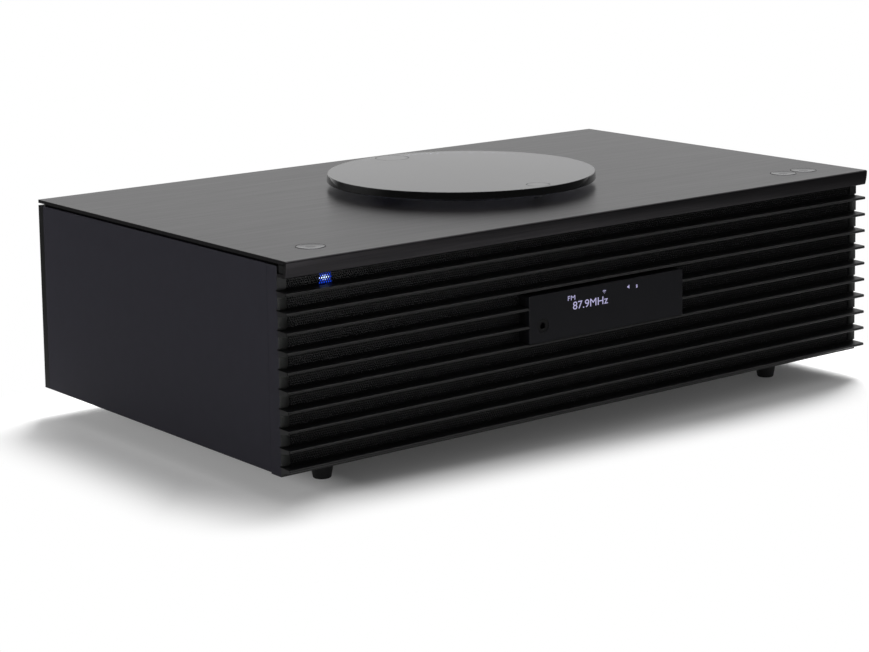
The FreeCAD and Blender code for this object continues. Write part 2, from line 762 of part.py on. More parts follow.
bass_basket = new_body("bass_basket")
turned(bass_basket, [
    (bass_hole - basket_sheet, zero), (bass_flange, zero), (bass_flange, basket_sheet),
    (bass_hole - basket_edge, basket_sheet),
    (bass_magnet + basket_edge, bass_depth - basket_sheet), (bass_magnet, bass_depth),
    (bass_magnet, bass_back_end), (zero, bass_back_end), (zero, bass_depth),
    (bass_magnet - basket_foot, bass_depth - basket_sheet),
    (bass_hole - basket_sheet, basket_sheet)])
bass_window = sketch_on(bass_basket, "top", basket_sheet + bass_window_margin)
rectangle(bass_window, -bass_window_half, bass_magnet + basket_sheet, bass_window_half,
          bass_flange)
bass_opened = cut(bass_basket, bass_window, "top",
                  bass_depth - basket_sheet - bass_window_margin * 2)
repeat_round(bass_basket, [bass_opened], 4)
place(bass_basket, zero, bass_back, chassis_high)

bass_cone = new_body("bass_cone")
turned(bass_cone, [
    (zero, bass_cone_depth - bass_cap_dome), (bass_neck, bass_cone_depth),
    (bass_cone_edge, bass_cone_back),
    ((bass_cone_rim + bass_cone_edge) / 2, -bass_surround_rise),
    (bass_cone_rim, bass_surround_back),
    (bass_cone_edge + cone_bead, bass_cone_back + cone_bead),
    (bass_neck + cone_bead, bass_cone_depth + cone_bead),
    (bass_neck + cone_bead, bass_cone_depth + bass_coil_length),
    (zero, bass_cone_depth + bass_coil_length)])
place(bass_cone, zero, bass_back, chassis_high)

bass_guard = new_body("bass_guard")
turned(bass_guard, [
    (bass_hole - guard_lap, -guard_sheet), (bass_flange, -guard_sheet), (bass_flange, zero),
    (bass_hole - guard_lap, zero)])
for ring_radius in (guard_inner_ring, guard_outer_ring):
    turned(bass_guard, [
        (ring_radius, -guard_sheet), (ring_radius + guard_bar, -guard_sheet),
        (ring_radius + guard_bar, zero), (ring_radius, zero)])
guard_spoke = block(bass_guard, -guard_bar, guard_bar, guard_inner_ring,
                    bass_hole - guard_bar / 2, -guard_sheet, zero)
repeat_round(bass_guard, [guard_spoke], 6)
place(bass_guard, zero, bass_back, side_low)

# Disc well: the dish that the disc lies in, moulded with a hub hole, a slot for the lens
# and four posts that the drive hangs from.
well_rim_drop = size("well_rim_drop", 0.2)
well_floor_drop = size("well_floor_drop", 10)
well_floor = size("well_floor", 2)
hub_hole = size("hub_hole", 19)
slot_half = size("slot_half", 9)
slot_margin = size("slot_margin", 0.5)
drive_drop = size("drive_drop", 22.2)
drive_sheet = size("drive_sheet", 2)
drive_half = size("drive_half", 40)
well_flange = size("well_flange", 7)
well_flange_sheet = size("well_flange_sheet", 2.5)
well_corner = size("well_corner", 2)
drive_post_inset = size("drive_post_inset", 5)
drive_post_back = size("drive_post_back", 36)
drive_post_radius = size("drive_post_radius", 3.5)
post_base_half = size("post_base_half", 12)
post_base_reach = size("post_base_reach", 17)
post_base_gap = size("post_base_gap", 1)

well_outer = well_radius + well_wall
well_top = plate_low - well_rim_drop - plate_high
well_floor_high = -well_floor_drop
well_floor_low = well_floor_high - well_floor
well_flange_high = deck_low - plate_high
well_flange_low = well_flange_high - well_flange_sheet
slot_end = well_radius - slot_margin
notch_half = post_base_half + post_base_gap
drive_plate_high = plate_high - drive_drop
drive_plate_low = drive_plate_high - drive_sheet

disc_well = new_body("disc_well")
turned(disc_well, [
    (hub_hole, well_floor_low), (well_outer, well_floor_low), (well_outer, well_flange_low),
    (well_outer + well_flange, well_flange_low), (well_outer + well_flange, well_flange_high),
    (well_outer, well_flange_high), (well_outer, well_top), (well_radius, well_top),
    (well_radius, well_floor_high + well_corner),
    (well_radius - well_corner, well_floor_high), (hub_hole, well_floor_high)])
cut_block(disc_well, -slot_half, slot_half, -slot_end, zero, well_floor_low - overcut,
          well_floor_high + overcut)
cut_block(disc_well, -notch_half, notch_half, pivot_reach - collar_radius - post_base_gap,
          pivot_reach + post_base_reach, well_flange_low - overcut, well_flange_high)
for side_x in (-1, 1):
    for side_y in (-1, 1):
        round_rod(disc_well, "top", (drive_half - drive_post_inset) * side_x,
                  drive_post_back * side_y, drive_post_radius, -drive_drop, well_floor_low)
place(disc_well, zero, disc_shift, plate_high)

# Disc drive: a steel plate with the spindle motor, and a lens sled that a lead screw
# moves along a guide rod, from the innermost track outwards to the front.
sled_start = size("sled_start", 25)
sled_travel = size("sled_travel", 33)
sled_half = size("sled_half", 12)
sled_height = size("sled_height", 7)
rod_radius = size("rod_radius", 1.5)
rod_place = size("rod_place", 20)
rod_drop = size("rod_drop", 4.5)
bracket_depth = size("bracket_depth", 4)
motor_radius = size("motor_radius", 12)
track_margin = size("track_margin", 2)
rod_boss = size("rod_boss", 5)
drive_behind = size("drive_behind", 44)
drive_clearance = size("drive_clearance", 1)
bracket_drop = size("bracket_drop", 4)
screw_end = size("screw_end", 3)
sled_motor_radius = size("sled_motor_radius", 7.5)
sled_motor_length = size("sled_motor_length", 13)
sled_motor_bevel = size("sled_motor_bevel", 0.5)
lens_block_half = size("lens_block_half", 14)
lens_block_inset = size("lens_block_inset", 2)
lens_seat = size("lens_seat", 4)
lens_base_radius = size("lens_base_radius", 6)
lens_base_height = size("lens_base_height", 4.5)
lens_collar_radius = size("lens_collar_radius", 3)
lens_collar_height = size("lens_collar_height", 6)
lens_radius = size("lens_radius", 2.4)
lens_edge_height = size("lens_edge_height", 6.6)
lens_crown_radius = size("lens_crown_radius", 1.3)
lens_crown_height = size("lens_crown_height", 7)
lens_height = size("lens_height", 7.1)

rod_height = drive_plate_low - rod_drop
sled_middle = disc_shift - sled_start
sled_front = sled_middle - sled_half
sled_back = sled_middle + sled_half
track_back = sled_back + track_margin
track_front = sled_front - sled_travel - track_margin
rod_back = track_back + bracket_depth
rod_front = track_front - bracket_depth
rod_length = rod_back - rod_front
sled_side = rod_place + rod_boss
lens_floor = drive_plate_high + lens_seat

drive_plate = new_body("drive_plate")
block(drive_plate, -drive_half, drive_half, rod_front, disc_shift + drive_behind,
      drive_plate_low, drive_plate_high)
cut_block(drive_plate, -sled_side - drive_clearance, sled_side + drive_clearance, track_front,
          track_back, drive_plate_low - overcut, drive_plate_high + overcut)
for bracket_front in (rod_front, track_back):
    for side in (-1, 1):
        left_edge, right_edge = sorted(((rod_place - rod_boss) * side,
                                        (rod_place + rod_boss) * side), key=value_of)
        block(drive_plate, left_edge, right_edge, bracket_front,
              bracket_front + bracket_depth, rod_height - bracket_drop, drive_plate_low)
for side in (-1, 1):
    drill(drive_plate, "front", rod_place * side, rod_height, rod_radius + running_fit,
          rod_front - overcut, rod_back + overcut)

guide_rod = new_body("guide_rod")
round_rod(guide_rod, "front", -rod_place, rod_height, rod_radius, rod_front, rod_back)

lead_screw = new_body("lead_screw")
turned(lead_screw, [(zero, zero), (rod_radius, zero), (rod_radius, rod_length + screw_end),
                    (zero, rod_length + screw_end)])
place(lead_screw, rod_place, rod_front - screw_end, rod_height, (1, 0, 0), -90)

sled_motor = new_body("sled_motor")
turned(sled_motor, [
    (zero, -sled_motor_length), (sled_motor_radius - sled_motor_bevel, -sled_motor_length),
    (sled_motor_radius, sled_motor_bevel - sled_motor_length), (sled_motor_radius, zero),
    (rod_radius + running_fit, zero), (rod_radius + running_fit, -screw_end - fit_gap),
    (zero, -screw_end - fit_gap)])
place(sled_motor, rod_place, rod_front, rod_height, (1, 0, 0), -90)

lens_sled = new_body("lens_sled")
block(lens_sled, -sled_side, sled_side, sled_front, sled_back, rod_height - sled_height / 2,
      rod_height + sled_height / 2)
block(lens_sled, -lens_block_half, lens_block_half, sled_front + lens_block_inset,
      sled_back - lens_block_inset, rod_height + sled_height / 2, lens_floor)
for side in (-1, 1):
    drill(lens_sled, "front", rod_place * side, rod_height, rod_radius + running_fit,
          sled_front - overcut, sled_back + overcut)

lens = new_body("pickup_lens")
turned(lens, [
    (zero, zero), (lens_base_radius, zero), (lens_base_radius, lens_base_height),
    (lens_collar_radius, lens_collar_height), (lens_radius, lens_edge_height),
    (lens_crown_radius, lens_crown_height), (zero, lens_height)])
place(lens, zero, sled_middle, lens_floor)

# Spindle: a motor on the drive plate and the hub that centres and turns the disc.
hub_radius = size("hub_radius", 14.5)
boss_radius = size("boss_radius", 7.4)
shaft_radius = size("shaft_radius", 1)
disc_seat_drop = size("disc_seat_drop", 6)
boss_height = size("boss_height", 3.4)
boss_shoulder = size("boss_shoulder", 1.4)
boss_taper = size("boss_taper", 2.2)
hub_taper = size("hub_taper", 2)
hub_edge = size("hub_edge", 1.5)
motor_height = size("motor_height", 7)
motor_bevel = size("motor_bevel", 1)
motor_floor = size("motor_floor", 1)

disc_seat = plate_high - disc_seat_drop - drive_plate_high
hub_low = motor_height + moving_gap

spindle_motor = new_body("spindle_motor")
turned(spindle_motor, [
    (zero, zero), (motor_radius, zero), (motor_radius, motor_height - motor_bevel),
    (motor_radius - motor_bevel, motor_height), (shaft_radius + running_fit, motor_height),
    (shaft_radius + running_fit, motor_floor), (zero, motor_floor)])
place(spindle_motor, zero, disc_shift, drive_plate_high)

spindle_hub = new_body("spindle_hub")
turned(spindle_hub, [
    (zero, motor_floor + moving_gap), (shaft_radius, motor_floor + moving_gap),
    (shaft_radius, hub_low), (hub_radius - hub_taper, hub_low),
    (hub_radius, disc_seat - hub_edge), (hub_radius, disc_seat), (boss_radius, disc_seat),
    (boss_radius, disc_seat + boss_shoulder),
    (boss_radius - boss_taper, disc_seat + boss_height), (zero, disc_seat + boss_height)])
place(spindle_hub, zero, disc_shift, drive_plate_high)

# Lid: a clear acrylic disc that floats over the plate and swings sideways about an
# upright post behind its middle, with a cap over the pivot and a locating pin in front.
lid_rim = size("lid_rim", 1.9)
lid_taper = size("lid_taper", 0.6)
lid_thickness = size("lid_thickness", 4.9)
lid_lift = size("lid_lift", 3.9)
lid_edge = size("lid_edge", 0.5)
cap_radius = size("cap_radius", 10.6)
cap_thickness = size("cap_thickness", 1.6)
post_radius = size("post_radius", 4)
post_foot = size("post_foot", 3)
pin_inset = size("pin_inset", 10.4)
pin_head = size("pin_head", 7)
pin_radius = size("pin_radius", 1.8)
pin_head_height = size("pin_head_height", 1.2)
pin_bevel = size("pin_bevel", 0.25)
pin_foot = size("pin_foot", 2.6)
pin_foot_height = size("pin_foot_height", 1)
cap_bevel = size("cap_bevel", 0.3)
post_shoulder = size("post_shoulder", 0.4)
collar_drop = size("collar_drop", 0.5)
hub_flange = size("hub_flange", 3)
hub_flange_sheet = size("hub_flange_sheet", 2)

lid_radius = pivot_reach + cap_radius + fit_gap + lid_rim
pin_reach = lid_radius - pin_inset
lid_low = plate_high + lid_lift
pin_ahead = pin_reach + pivot_reach
pin_seat = lid_thickness - pin_head_height
pin_low = moving_gap - lid_lift
cap_seat = lid_thickness - cap_thickness
collar_low = plate_low - collar_drop - lid_low
base_high = deck_low - lid_low
base_low = base_high - post_foot
shoulder_radius = collar_radius - post_shoulder

lid_disc = new_body("lid_disc")
turned(lid_disc, [
    (zero, zero), (lid_radius - lid_edge, zero), (lid_radius, lid_edge),
    (lid_radius - lid_taper, lid_thickness - lid_edge),
    (lid_radius - lid_taper - lid_edge, lid_thickness), (zero, lid_thickness)])
drill(lid_disc, "top", zero, pivot_reach, cap_radius + fit_gap, -overcut,
      lid_thickness + overcut)
drill(lid_disc, "top", zero, -pin_reach, pin_head + fit_gap, pin_seat, lid_thickness + overcut)
drill(lid_disc, "top", zero, -pin_reach, pin_radius + fit_gap, -overcut, lid_thickness)
place(lid_disc, zero, disc_shift, lid_low)

lid_hub = new_body("lid_hub")
turned(lid_hub, [
    (post_radius + running_fit, collar_low), (collar_radius, collar_low),
    (collar_radius, -hub_flange_sheet), (cap_radius + hub_flange, -hub_flange_sheet),
    (cap_radius + hub_flange, zero), (cap_radius, zero), (cap_radius, cap_seat),
    (post_radius + running_fit, cap_seat)])
place(lid_hub, zero, pivot_back, lid_low)

pivot_cap = new_body("pivot_cap")
turned(pivot_cap, [
    (zero, cap_seat), (cap_radius, cap_seat), (cap_radius, lid_thickness - cap_bevel),
    (cap_radius - cap_bevel, lid_thickness), (zero, lid_thickness)])
place(pivot_cap, zero, pivot_back, lid_low)

pivot_post = new_body("pivot_post")
block(pivot_post, -post_base_half, post_base_half, -collar_radius, post_base_reach, base_low,
      base_high)
turned(pivot_post, [
    (zero, base_low), (shoulder_radius, base_low), (shoulder_radius, collar_low - moving_gap),
    (post_radius, collar_low - moving_gap), (post_radius, cap_seat - moving_gap),
    (zero, cap_seat - moving_gap)])
place(pivot_post, zero, pivot_back, lid_low)

locator_pin = new_body("locator_pin")
turned(locator_pin, [
    (zero, pin_low), (pin_foot, pin_low), (pin_foot, pin_low + pin_foot_height),
    (pin_radius, pin_low + pin_foot_height), (pin_radius, pin_seat), (pin_head, pin_seat),
    (pin_head, lid_thickness - pin_bevel), (pin_head - pin_bevel, lid_thickness),
    (zero, lid_thickness)])
place(locator_pin, zero, pivot_back - pin_ahead, lid_low)

# Buttons: dished metal caps on stems, flush with the plate, over tact switches.
cap_height = size("cap_height", 2.6)
dish_depth = size("dish_depth", 0.5)
button_travel = size("button_travel", 0.8)
switch_height = size("switch_height", 3.5)
button_bevel = size("button_bevel", 0.3)
button_rim = size("button_rim", 0.9)
dish_slope = size("dish_slope", 0.4)
dish_step = size("dish_step", 0.3)
switch_half = size("switch_half", 3.1)
plunger_height = size("plunger_height", 1)
plunger_radius = size("plunger_radius", 1.8)
switch_board_side = size("switch_board_side", 12)
switch_board_ahead = size("switch_board_ahead", 8)
switch_board_behind = size("switch_board_behind", 12)
deck_boss_inset = size("deck_boss_inset", 3)
deck_boss_radius = size("deck_boss_radius", 2.5)

stem_low = switch_board_high + switch_height + button_travel + fit_gap - plate_high
rim_inner = button_radius - button_rim
switch_body_high = switch_board_high + switch_height - plunger_height
deck_boss_back = button_back + switch_board_behind - deck_boss_inset

for name, button_place in (("power_button", power_place), ("source_button", source_place),
                           ("play_button", play_place)):
    button = new_body(name)
    turned(button, [
        (zero, stem_low), (stem_radius, stem_low), (stem_radius, -cap_height),
        (button_radius, -cap_height), (button_radius, -button_bevel),
        (button_radius - button_bevel, zero), (rim_inner, zero),
        (rim_inner - dish_slope, -dish_step), (zero, -dish_depth - dish_step)])
    place(button, button_place, button_back, plate_high)

for name, first_key, last_key, keys in (
        ("left_switch_board", power_place, power_place, (power_place,)),
        ("right_switch_board", source_place, play_place, (source_place, play_place))):
    left_edge = first_key - switch_board_side
    right_edge = last_key + switch_board_side
    switch_board = new_body(name)
    block(switch_board, left_edge, right_edge, button_back - switch_board_ahead,
          button_back + switch_board_behind, switch_board_high - board_thickness,
          switch_board_high)
    for key in keys:
        block(switch_board, key - switch_half, key + switch_half, button_back - switch_half,
              button_back + switch_half, switch_board_high, switch_body_high)
        round_rod(switch_board, "top", key, button_back, plunger_radius, switch_body_high,
                  switch_body_high + plunger_height)
    for boss_place in (left_edge + deck_boss_inset, right_edge - deck_boss_inset):
        round_rod(upper_deck, "top", boss_place, deck_boss_back, deck_boss_radius,
                  switch_board_high, deck_low)

# Electronics: an upright main board behind the sockets with a finned heat sink, and a
# power board on stand-offs.
main_board_inset = size("main_board_inset", 24)
main_board_left = size("main_board_left", -90)
main_board_right = size("main_board_right", 48)
main_board_high = size("main_board_high", 92)
chip_rise = size("chip_rise", 1.6)
sink_left = size("sink_left", -50)
sink_right = size("sink_right", 10)
sink_up = size("sink_up", 48)
sink_top = size("sink_top", 86)
sink_base = size("sink_base", 3)
sink_depth = size("sink_depth", 15)
sink_fin_inset = size("sink_fin_inset", 2)
sink_fin = size("sink_fin", 1.5)
sink_pitch = size("sink_pitch", 6)
sink_fin_count = 9
power_board_left = size("power_board_left", 60)
power_board_right = size("power_board_right", 200)
power_board_margin = size("power_board_margin", 3)
stand_off = size("stand_off", 5)
stand_radius = size("stand_radius", 2.5)
stand_inset = size("stand_inset", 6)
stand_depth = size("stand_depth", 4)
transformer_left = size("transformer_left", 110)
transformer_right = size("transformer_right", 142)
transformer_ahead = size("transformer_ahead", 2)
transformer_top = size("transformer_top", 34)
capacitor_radius = size("capacitor_radius", 6)
capacitor_inset = size("capacitor_inset", 11)
capacitor_top = size("capacitor_top", 30)

main_board_front = back - main_board_inset
board_back = main_board_front + board_thickness
sink_front = main_board_front - sink_base
power_board_front = box_back + power_board_margin
power_board_back = rear_inner - power_board_margin
power_board_low = chassis_high + stand_off
power_board_face = power_board_low + board_thickness

main_board = new_body("main_board")
block(main_board, main_board_left, main_board_right, main_board_front, board_back,
      chassis_high, side_low + main_board_high)
for chip_left, chip_low, chip_size in ((-60, 45, 16), (-20, 52, 12), (15, 62, 14)):
    chip_outline = sketch_on(main_board, "front", board_back)
    rectangle(chip_outline, zero + chip_left, side_low + chip_low, zero + chip_left + chip_size,
              side_low + chip_low + chip_size)
    grow(main_board, chip_outline, "front", chip_rise)

heat_sink = new_body("heat_sink")
block(heat_sink, sink_left, sink_right, sink_front, main_board_front, side_low + sink_up,
      side_low + sink_top)
sink_fin_pad = block(heat_sink, sink_left + sink_fin_inset,
                     sink_left + sink_fin_inset + sink_fin, main_board_front - sink_depth,
                     sink_front, side_low + sink_up, side_low + sink_top)
repeat(heat_sink, [sink_fin_pad], "X_Axis", sink_pitch * (sink_fin_count - 1),
       sink_fin_count)

power_board = new_body("power_board")
block(power_board, power_board_left, power_board_right, power_board_front, power_board_back,
      power_board_low, power_board_face)
for corner_x in (power_board_left + stand_inset, power_board_right - stand_inset):
    for corner_y in (power_board_front + stand_depth, power_board_back - stand_depth):
        round_rod(power_board, "top", corner_x, corner_y, stand_radius, chassis_high,
                  power_board_low)
block(power_board, transformer_left, transformer_right, power_board_front + transformer_ahead,
      power_board_back - stand_depth, power_board_face, chassis_high + transformer_top)
for capacitor_x in (156, 172, 188):
    round_rod(power_board, "top", zero + capacitor_x, power_board_front + capacitor_inset,
              capacitor_radius, power_board_face, chassis_high + capacitor_top)

# Sockets in the rear cover: mains inlet, network, data, stereo input and aerial.
mains_inside = size("mains_inside", 12)
mains_hole_depth = size("mains_hole_depth", 13)
mains_pin_place = size("mains_pin_place", 4)
mains_pin_radius = size("mains_pin_radius", 1.2)
mains_pin_length = size("mains_pin_length", 10)
mains_hole_radius = size("mains_hole_radius", 3.9)
network_hole_half = size("network_hole_half", 5.9)
network_hole_low = size("network_hole_low", 4)
network_hole_high = size("network_hole_high", 4.2)
network_hole_depth = size("network_hole_depth", 12)
data_hole_half = size("data_hole_half", 6.3)
data_hole_rise = size("data_hole_rise", 2.6)
data_hole_depth = size("data_hole_depth", 11)
tongue_half = size("tongue_half", 5.6)
tongue_drop = size("tongue_drop", 0.8)
tongue_length = size("tongue_length", 9)
aerial_shoulder = size("aerial_shoulder", 2)
aerial_thread = size("aerial_thread", 4.7)
aerial_bore = size("aerial_bore", 1.6)
aerial_bore_floor = size("aerial_bore_floor", 4)

mains_floor = back - mains_hole_depth
aerial_base = back - board_back
aerial_end = aerial_base + rear_reach

mains_inlet = new_body("mains_inlet")
inlet_outline = sketch_on(mains_inlet, "front", rear_inner - mains_inside)
rectangle(inlet_outline, mains_place - mains_width / 2, socket_middle - mains_height / 2,
          mains_place + mains_width / 2, socket_middle + mains_height / 2)
grow(mains_inlet, inlet_outline, "front", rear_cover_depth + mains_inside)
inlet_hole = sketch_on(mains_inlet, "front", mains_floor)
hole_end = mains_pin_place + mains_hole_radius
polygon(inlet_hole, [
    (mains_place - mains_pin_place, socket_middle - mains_hole_radius),
    (mains_place + mains_pin_place, socket_middle - mains_hole_radius,
     mains_place + hole_end, socket_middle),
    (mains_place + mains_pin_place, socket_middle + mains_hole_radius),
    (mains_place - mains_pin_place, socket_middle + mains_hole_radius,
     mains_place - hole_end, socket_middle)])
cut(mains_inlet, inlet_hole, "front", mains_hole_depth + overcut)
for side in (-1, 1):
    round_rod(mains_inlet, "front", mains_place + mains_pin_place * side, socket_middle,
              mains_pin_radius, mains_floor - overcut, mains_floor + mains_pin_length)

network_socket = new_body("network_socket")
network_outline = sketch_on(network_socket, "front", board_back)
rectangle(network_outline, network_place - network_width / 2,
          socket_middle - network_height / 2, network_place + network_width / 2,
          socket_middle + network_height / 2)
grow(network_socket, network_outline, "front", back - board_back)
network_hole = sketch_on(network_socket, "front", back - network_hole_depth)
rectangle(network_hole, network_place - network_hole_half, socket_middle - network_hole_low,
          network_place + network_hole_half, socket_middle + network_hole_high)
cut(network_socket, network_hole, "front", network_hole_depth + overcut)

data_socket = new_body("data_socket")
data_outline = sketch_on(data_socket, "front", board_back)
rectangle(data_outline, data_place - data_width / 2, socket_middle - data_height / 2,
          data_place + data_width / 2, socket_middle + data_height / 2)
grow(data_socket, data_outline, "front", back - board_back)
data_hole = sketch_on(data_socket, "front", back - data_hole_depth)
rectangle(data_hole, data_place - data_hole_half, socket_middle - data_hole_rise,
          data_place + data_hole_half, socket_middle + data_hole_rise)
cut(data_socket, data_hole, "front", data_hole_depth + overcut)
data_tongue = sketch_on(data_socket, "front", back - data_hole_depth - overcut)
rectangle(data_tongue, data_place - tongue_half, socket_middle - data_hole_rise,
          data_place + tongue_half, socket_middle - tongue_drop)
grow(data_socket, data_tongue, "front", tongue_length + overcut)

aux_jack = new_body("aux_jack")
round_rod(aux_jack, "front", aux_place, socket_middle, jack_radius, board_back, back)
drill(aux_jack, "front", aux_place, socket_middle, jack_bore, back - jack_depth,
      back + overcut)

aerial_socket = new_body("aerial_socket")
turned(aerial_socket, [
    (zero, zero), (aerial_radius, zero), (aerial_radius, aerial_base + aerial_shoulder),
    (aerial_thread, aerial_base + aerial_shoulder), (aerial_thread, aerial_end),
    (aerial_bore, aerial_end), (aerial_bore, aerial_base + aerial_bore_floor),
    (zero, aerial_base + aerial_bore_floor)])
place(aerial_socket, aerial_place, board_back, socket_middle, (1, 0, 0), -90)

# Feet: four conical rubber feet under the chassis.
foot_inset = size("foot_inset", 49)
foot_front = size("foot_front", 41)
foot_top = size("foot_top", 8)
foot_bottom = size("foot_bottom", 5.2)
foot_bevel = size("foot_bevel", 0.8)
foot_collar = size("foot_collar", 2)

for name, side_x, foot_back in (("front_left_foot", -1, front + foot_front),
                                ("front_right_foot", 1, front + foot_front),
                                ("rear_left_foot", -1, back - foot_front),
                                ("rear_right_foot", 1, back - foot_front)):
    foot = new_body(name)
    turned(foot, [
        (zero, zero), (foot_bottom - foot_bevel, zero), (foot_bottom, foot_bevel),
        (foot_top, foot_height - foot_collar), (foot_top, foot_height), (zero, foot_height)])
    place(foot, (half_width - foot_inset) * side_x, foot_back, zero)

# Screws: identical pan heads hold the rear cover and the chassis.
screw_head = size("screw_head", 3)
screw_rise = size("screw_rise", 1.4)
cover_screw_inset = size("cover_screw_inset", 10)
cover_screw_edge = size("cover_screw_edge", 8)
chassis_screw_inset = size("chassis_screw_inset", 20)
chassis_screw_front = size("chassis_screw_front", 30)
inner_screw_place = size("inner_screw_place", 80)

case_screws = new_body("case_screws")
for side in (-1, 1):
    for screw_up in (side_low + cover_screw_edge, side_high - cover_screw_edge):
        round_rod(case_screws, "front", (half_width - cover_screw_inset) * side, screw_up,
                  screw_head, back, back + screw_rise)
    for screw_back in (front + chassis_screw_front, back - chassis_screw_inset):
        for across in (half_width - chassis_screw_inset, inner_screw_place):
            round_rod(case_screws, "top", across * side, screw_back, screw_head,
                      side_low - screw_rise, side_low)

doc.recompute()

# Every object must have been made, and every sub-part must be a sound solid.
for item in doc.Objects:
    for state in item.State:
        if state in ("Invalid", "Error"):
            raise RuntimeError(item.Label + " is " + state)
    if item.TypeId == "PartDesign::Pocket":
        removed = item.BaseFeature.Shape.Volume - item.Shape.Volume
        if removed <= 0:
            raise RuntimeError(item.Label + " cuts nothing")
for item in sub_parts:
    if item.Shape.isNull() or not item.Shape.isValid():
        raise RuntimeError(item.Label + " is not a sound solid")

os.makedirs("parts", exist_ok=True)
for item in sub_parts:
    item.Shape.exportStep(os.path.join("parts", item.Label + ".step"))
print(len(sub_parts), "sub-parts written")
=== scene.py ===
import math
import bpy
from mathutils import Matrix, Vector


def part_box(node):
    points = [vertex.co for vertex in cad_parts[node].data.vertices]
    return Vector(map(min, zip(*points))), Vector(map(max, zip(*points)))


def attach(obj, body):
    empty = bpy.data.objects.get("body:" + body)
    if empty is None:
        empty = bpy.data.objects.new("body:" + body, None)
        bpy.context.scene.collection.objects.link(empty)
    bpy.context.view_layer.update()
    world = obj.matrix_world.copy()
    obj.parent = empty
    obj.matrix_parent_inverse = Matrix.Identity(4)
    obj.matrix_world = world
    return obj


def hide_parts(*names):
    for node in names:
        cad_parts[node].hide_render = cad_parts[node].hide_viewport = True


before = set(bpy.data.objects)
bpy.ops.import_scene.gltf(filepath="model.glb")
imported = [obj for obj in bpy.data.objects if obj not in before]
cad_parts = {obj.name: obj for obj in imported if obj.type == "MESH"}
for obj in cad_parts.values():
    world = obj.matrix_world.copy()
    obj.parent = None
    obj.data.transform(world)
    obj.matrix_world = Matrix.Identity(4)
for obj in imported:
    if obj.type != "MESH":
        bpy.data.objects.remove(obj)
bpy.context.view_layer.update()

# Camera: stands in front and to the left of the cabinet, a little above its top, where the
# edges of the plate, the side panel and the round lid put it.
bpy.ops.object.select_all(action="DESELECT")
camera_turn = [math.radians(angle) for angle in (81.69, 0.79, -38.22)]
bpy.ops.object.camera_add(location=(-0.90974, -1.14001, 0.37137), rotation=camera_turn)
camera = bpy.context.active_object
camera.data.sensor_width = 36
camera.data.lens = 97.76
camera.data.shift_y = -0.2081
bpy.context.scene.camera = camera
bpy.context.scene.view_settings.view_transform = "Standard"


# Floor: a white studio sweep, painted matt. It keeps the soft shadow of the cabinet at its
# foot and fades to the white of the background within some centimetres of it.
def colour(code):
    """Linear red, green, blue and alpha of an sRGB hex value."""
    parts = [int(code[k:k + 2], 16) / 255 for k in (0, 2, 4)]
    return [p / 12.92 if p <= 0.04045 else ((p + 0.055) / 1.055) ** 2.4 for p in parts] + [1.0]


def new_material(name):
    """An empty node material."""
    material = bpy.data.materials.new(name)
    material.use_nodes = True
    material.node_tree.nodes.clear()
    return material


def add_node(owner, kind, inputs=None, **settings):
    """Adds a shader node, sets it, and links or fills its inputs."""
    node = owner.node_tree.nodes.new("ShaderNode" + kind)
    for name, value in settings.items():
        setattr(node, name, value)
    for socket, value in (inputs or {}).items():
        if isinstance(value, bpy.types.NodeSocket):
            owner.node_tree.links.new(value, node.inputs[socket])
        else:
            node.inputs[socket].default_value = value
    return node


def seen_ray(owner):
    """1 for rays from the camera, off mirrors and through acrylic; 0 for light that falls on
    a surface."""
    path = add_node(owner, "LightPath")
    first = add_node(owner, "Math", {0: path.outputs["Is Camera Ray"],
                                     1: path.outputs["Is Glossy Ray"]}, operation="MAXIMUM")
    return add_node(owner, "Math", {0: first.outputs[0],
                                    1: path.outputs["Is Transmission Ray"]},
                    operation="MAXIMUM").outputs[0]


def ramp(owner, value, start, end, low=0.0, high=1.0, soft=False):
    """Maps the stretch from start to end onto low to high, with soft ends if asked."""
    return add_node(owner, "MapRange", {
        "Value": value, "From Min": start, "From Max": end, "To Min": low, "To Max": high},
        interpolation_type="SMOOTHSTEP" if soft else "LINEAR").outputs[0]


def mirrored_level(owner, towards):
    """What a mirror sees in a direction: the lit parts of the room, and dark between them.
    The camera sees white all round."""
    unit = add_node(owner, "VectorMath", {0: towards}, operation="NORMALIZE")
    total = dark_room
    for part, starts, full, top in lit_parts:
        share = add_node(owner, "VectorMath", {0: unit.outputs[0], 1: part},
                         operation="DOT_PRODUCT")
        strength = ramp(owner, share.outputs["Value"], starts, full, 0.0, top, soft=True)
        total = add_node(owner, "Math", {0: total, 1: strength}).outputs[0]
    camera_ray = add_node(owner, "LightPath").outputs["Is Camera Ray"]
    return ramp(owner, camera_ray, 0.0, 1.0, total, 1.0)


# A lit part of the room: its direction, the cosines of the angle to it where its light starts
# and is full, and how bright it is.
lit_end = (0.643, 0.766, 0.0), 0.55, 0.9, 0.89
lit_floor = (0.0, 0.0, -1.0), 0.15, 0.5, 0.6
overhead_softbox = (0.12, 0.0, 0.99), 0.84, 0.93, 5.0
pale_left_wall = (-0.55, 0.6, 0.58), 0.7, 0.95, 0.5
front_card = (0.6, -0.25, 0.76), 0.8, 0.97, 0.7
lit_parts = lit_end, lit_floor, overhead_softbox, pale_left_wall, front_card
dark_room = 0.13
floor_reach, floor_tones = 9.0, (0.84, 0.86)
# Half sizes of the ground that the cabinet covers, in metres, and how far it lies back.
footprint, floor_shift = (0.225, 0.136, 0.0), (0.0, 0.003)
# How far from the footprint the floor starts to fade and is white.
front_fade, right_fade, left_fade = (-0.02, 0.045), (0.008, 0.064), (0.008, 0.076)
front_stretch, corner_stretch = (-0.2, 0.08), (-0.03, 0.09)
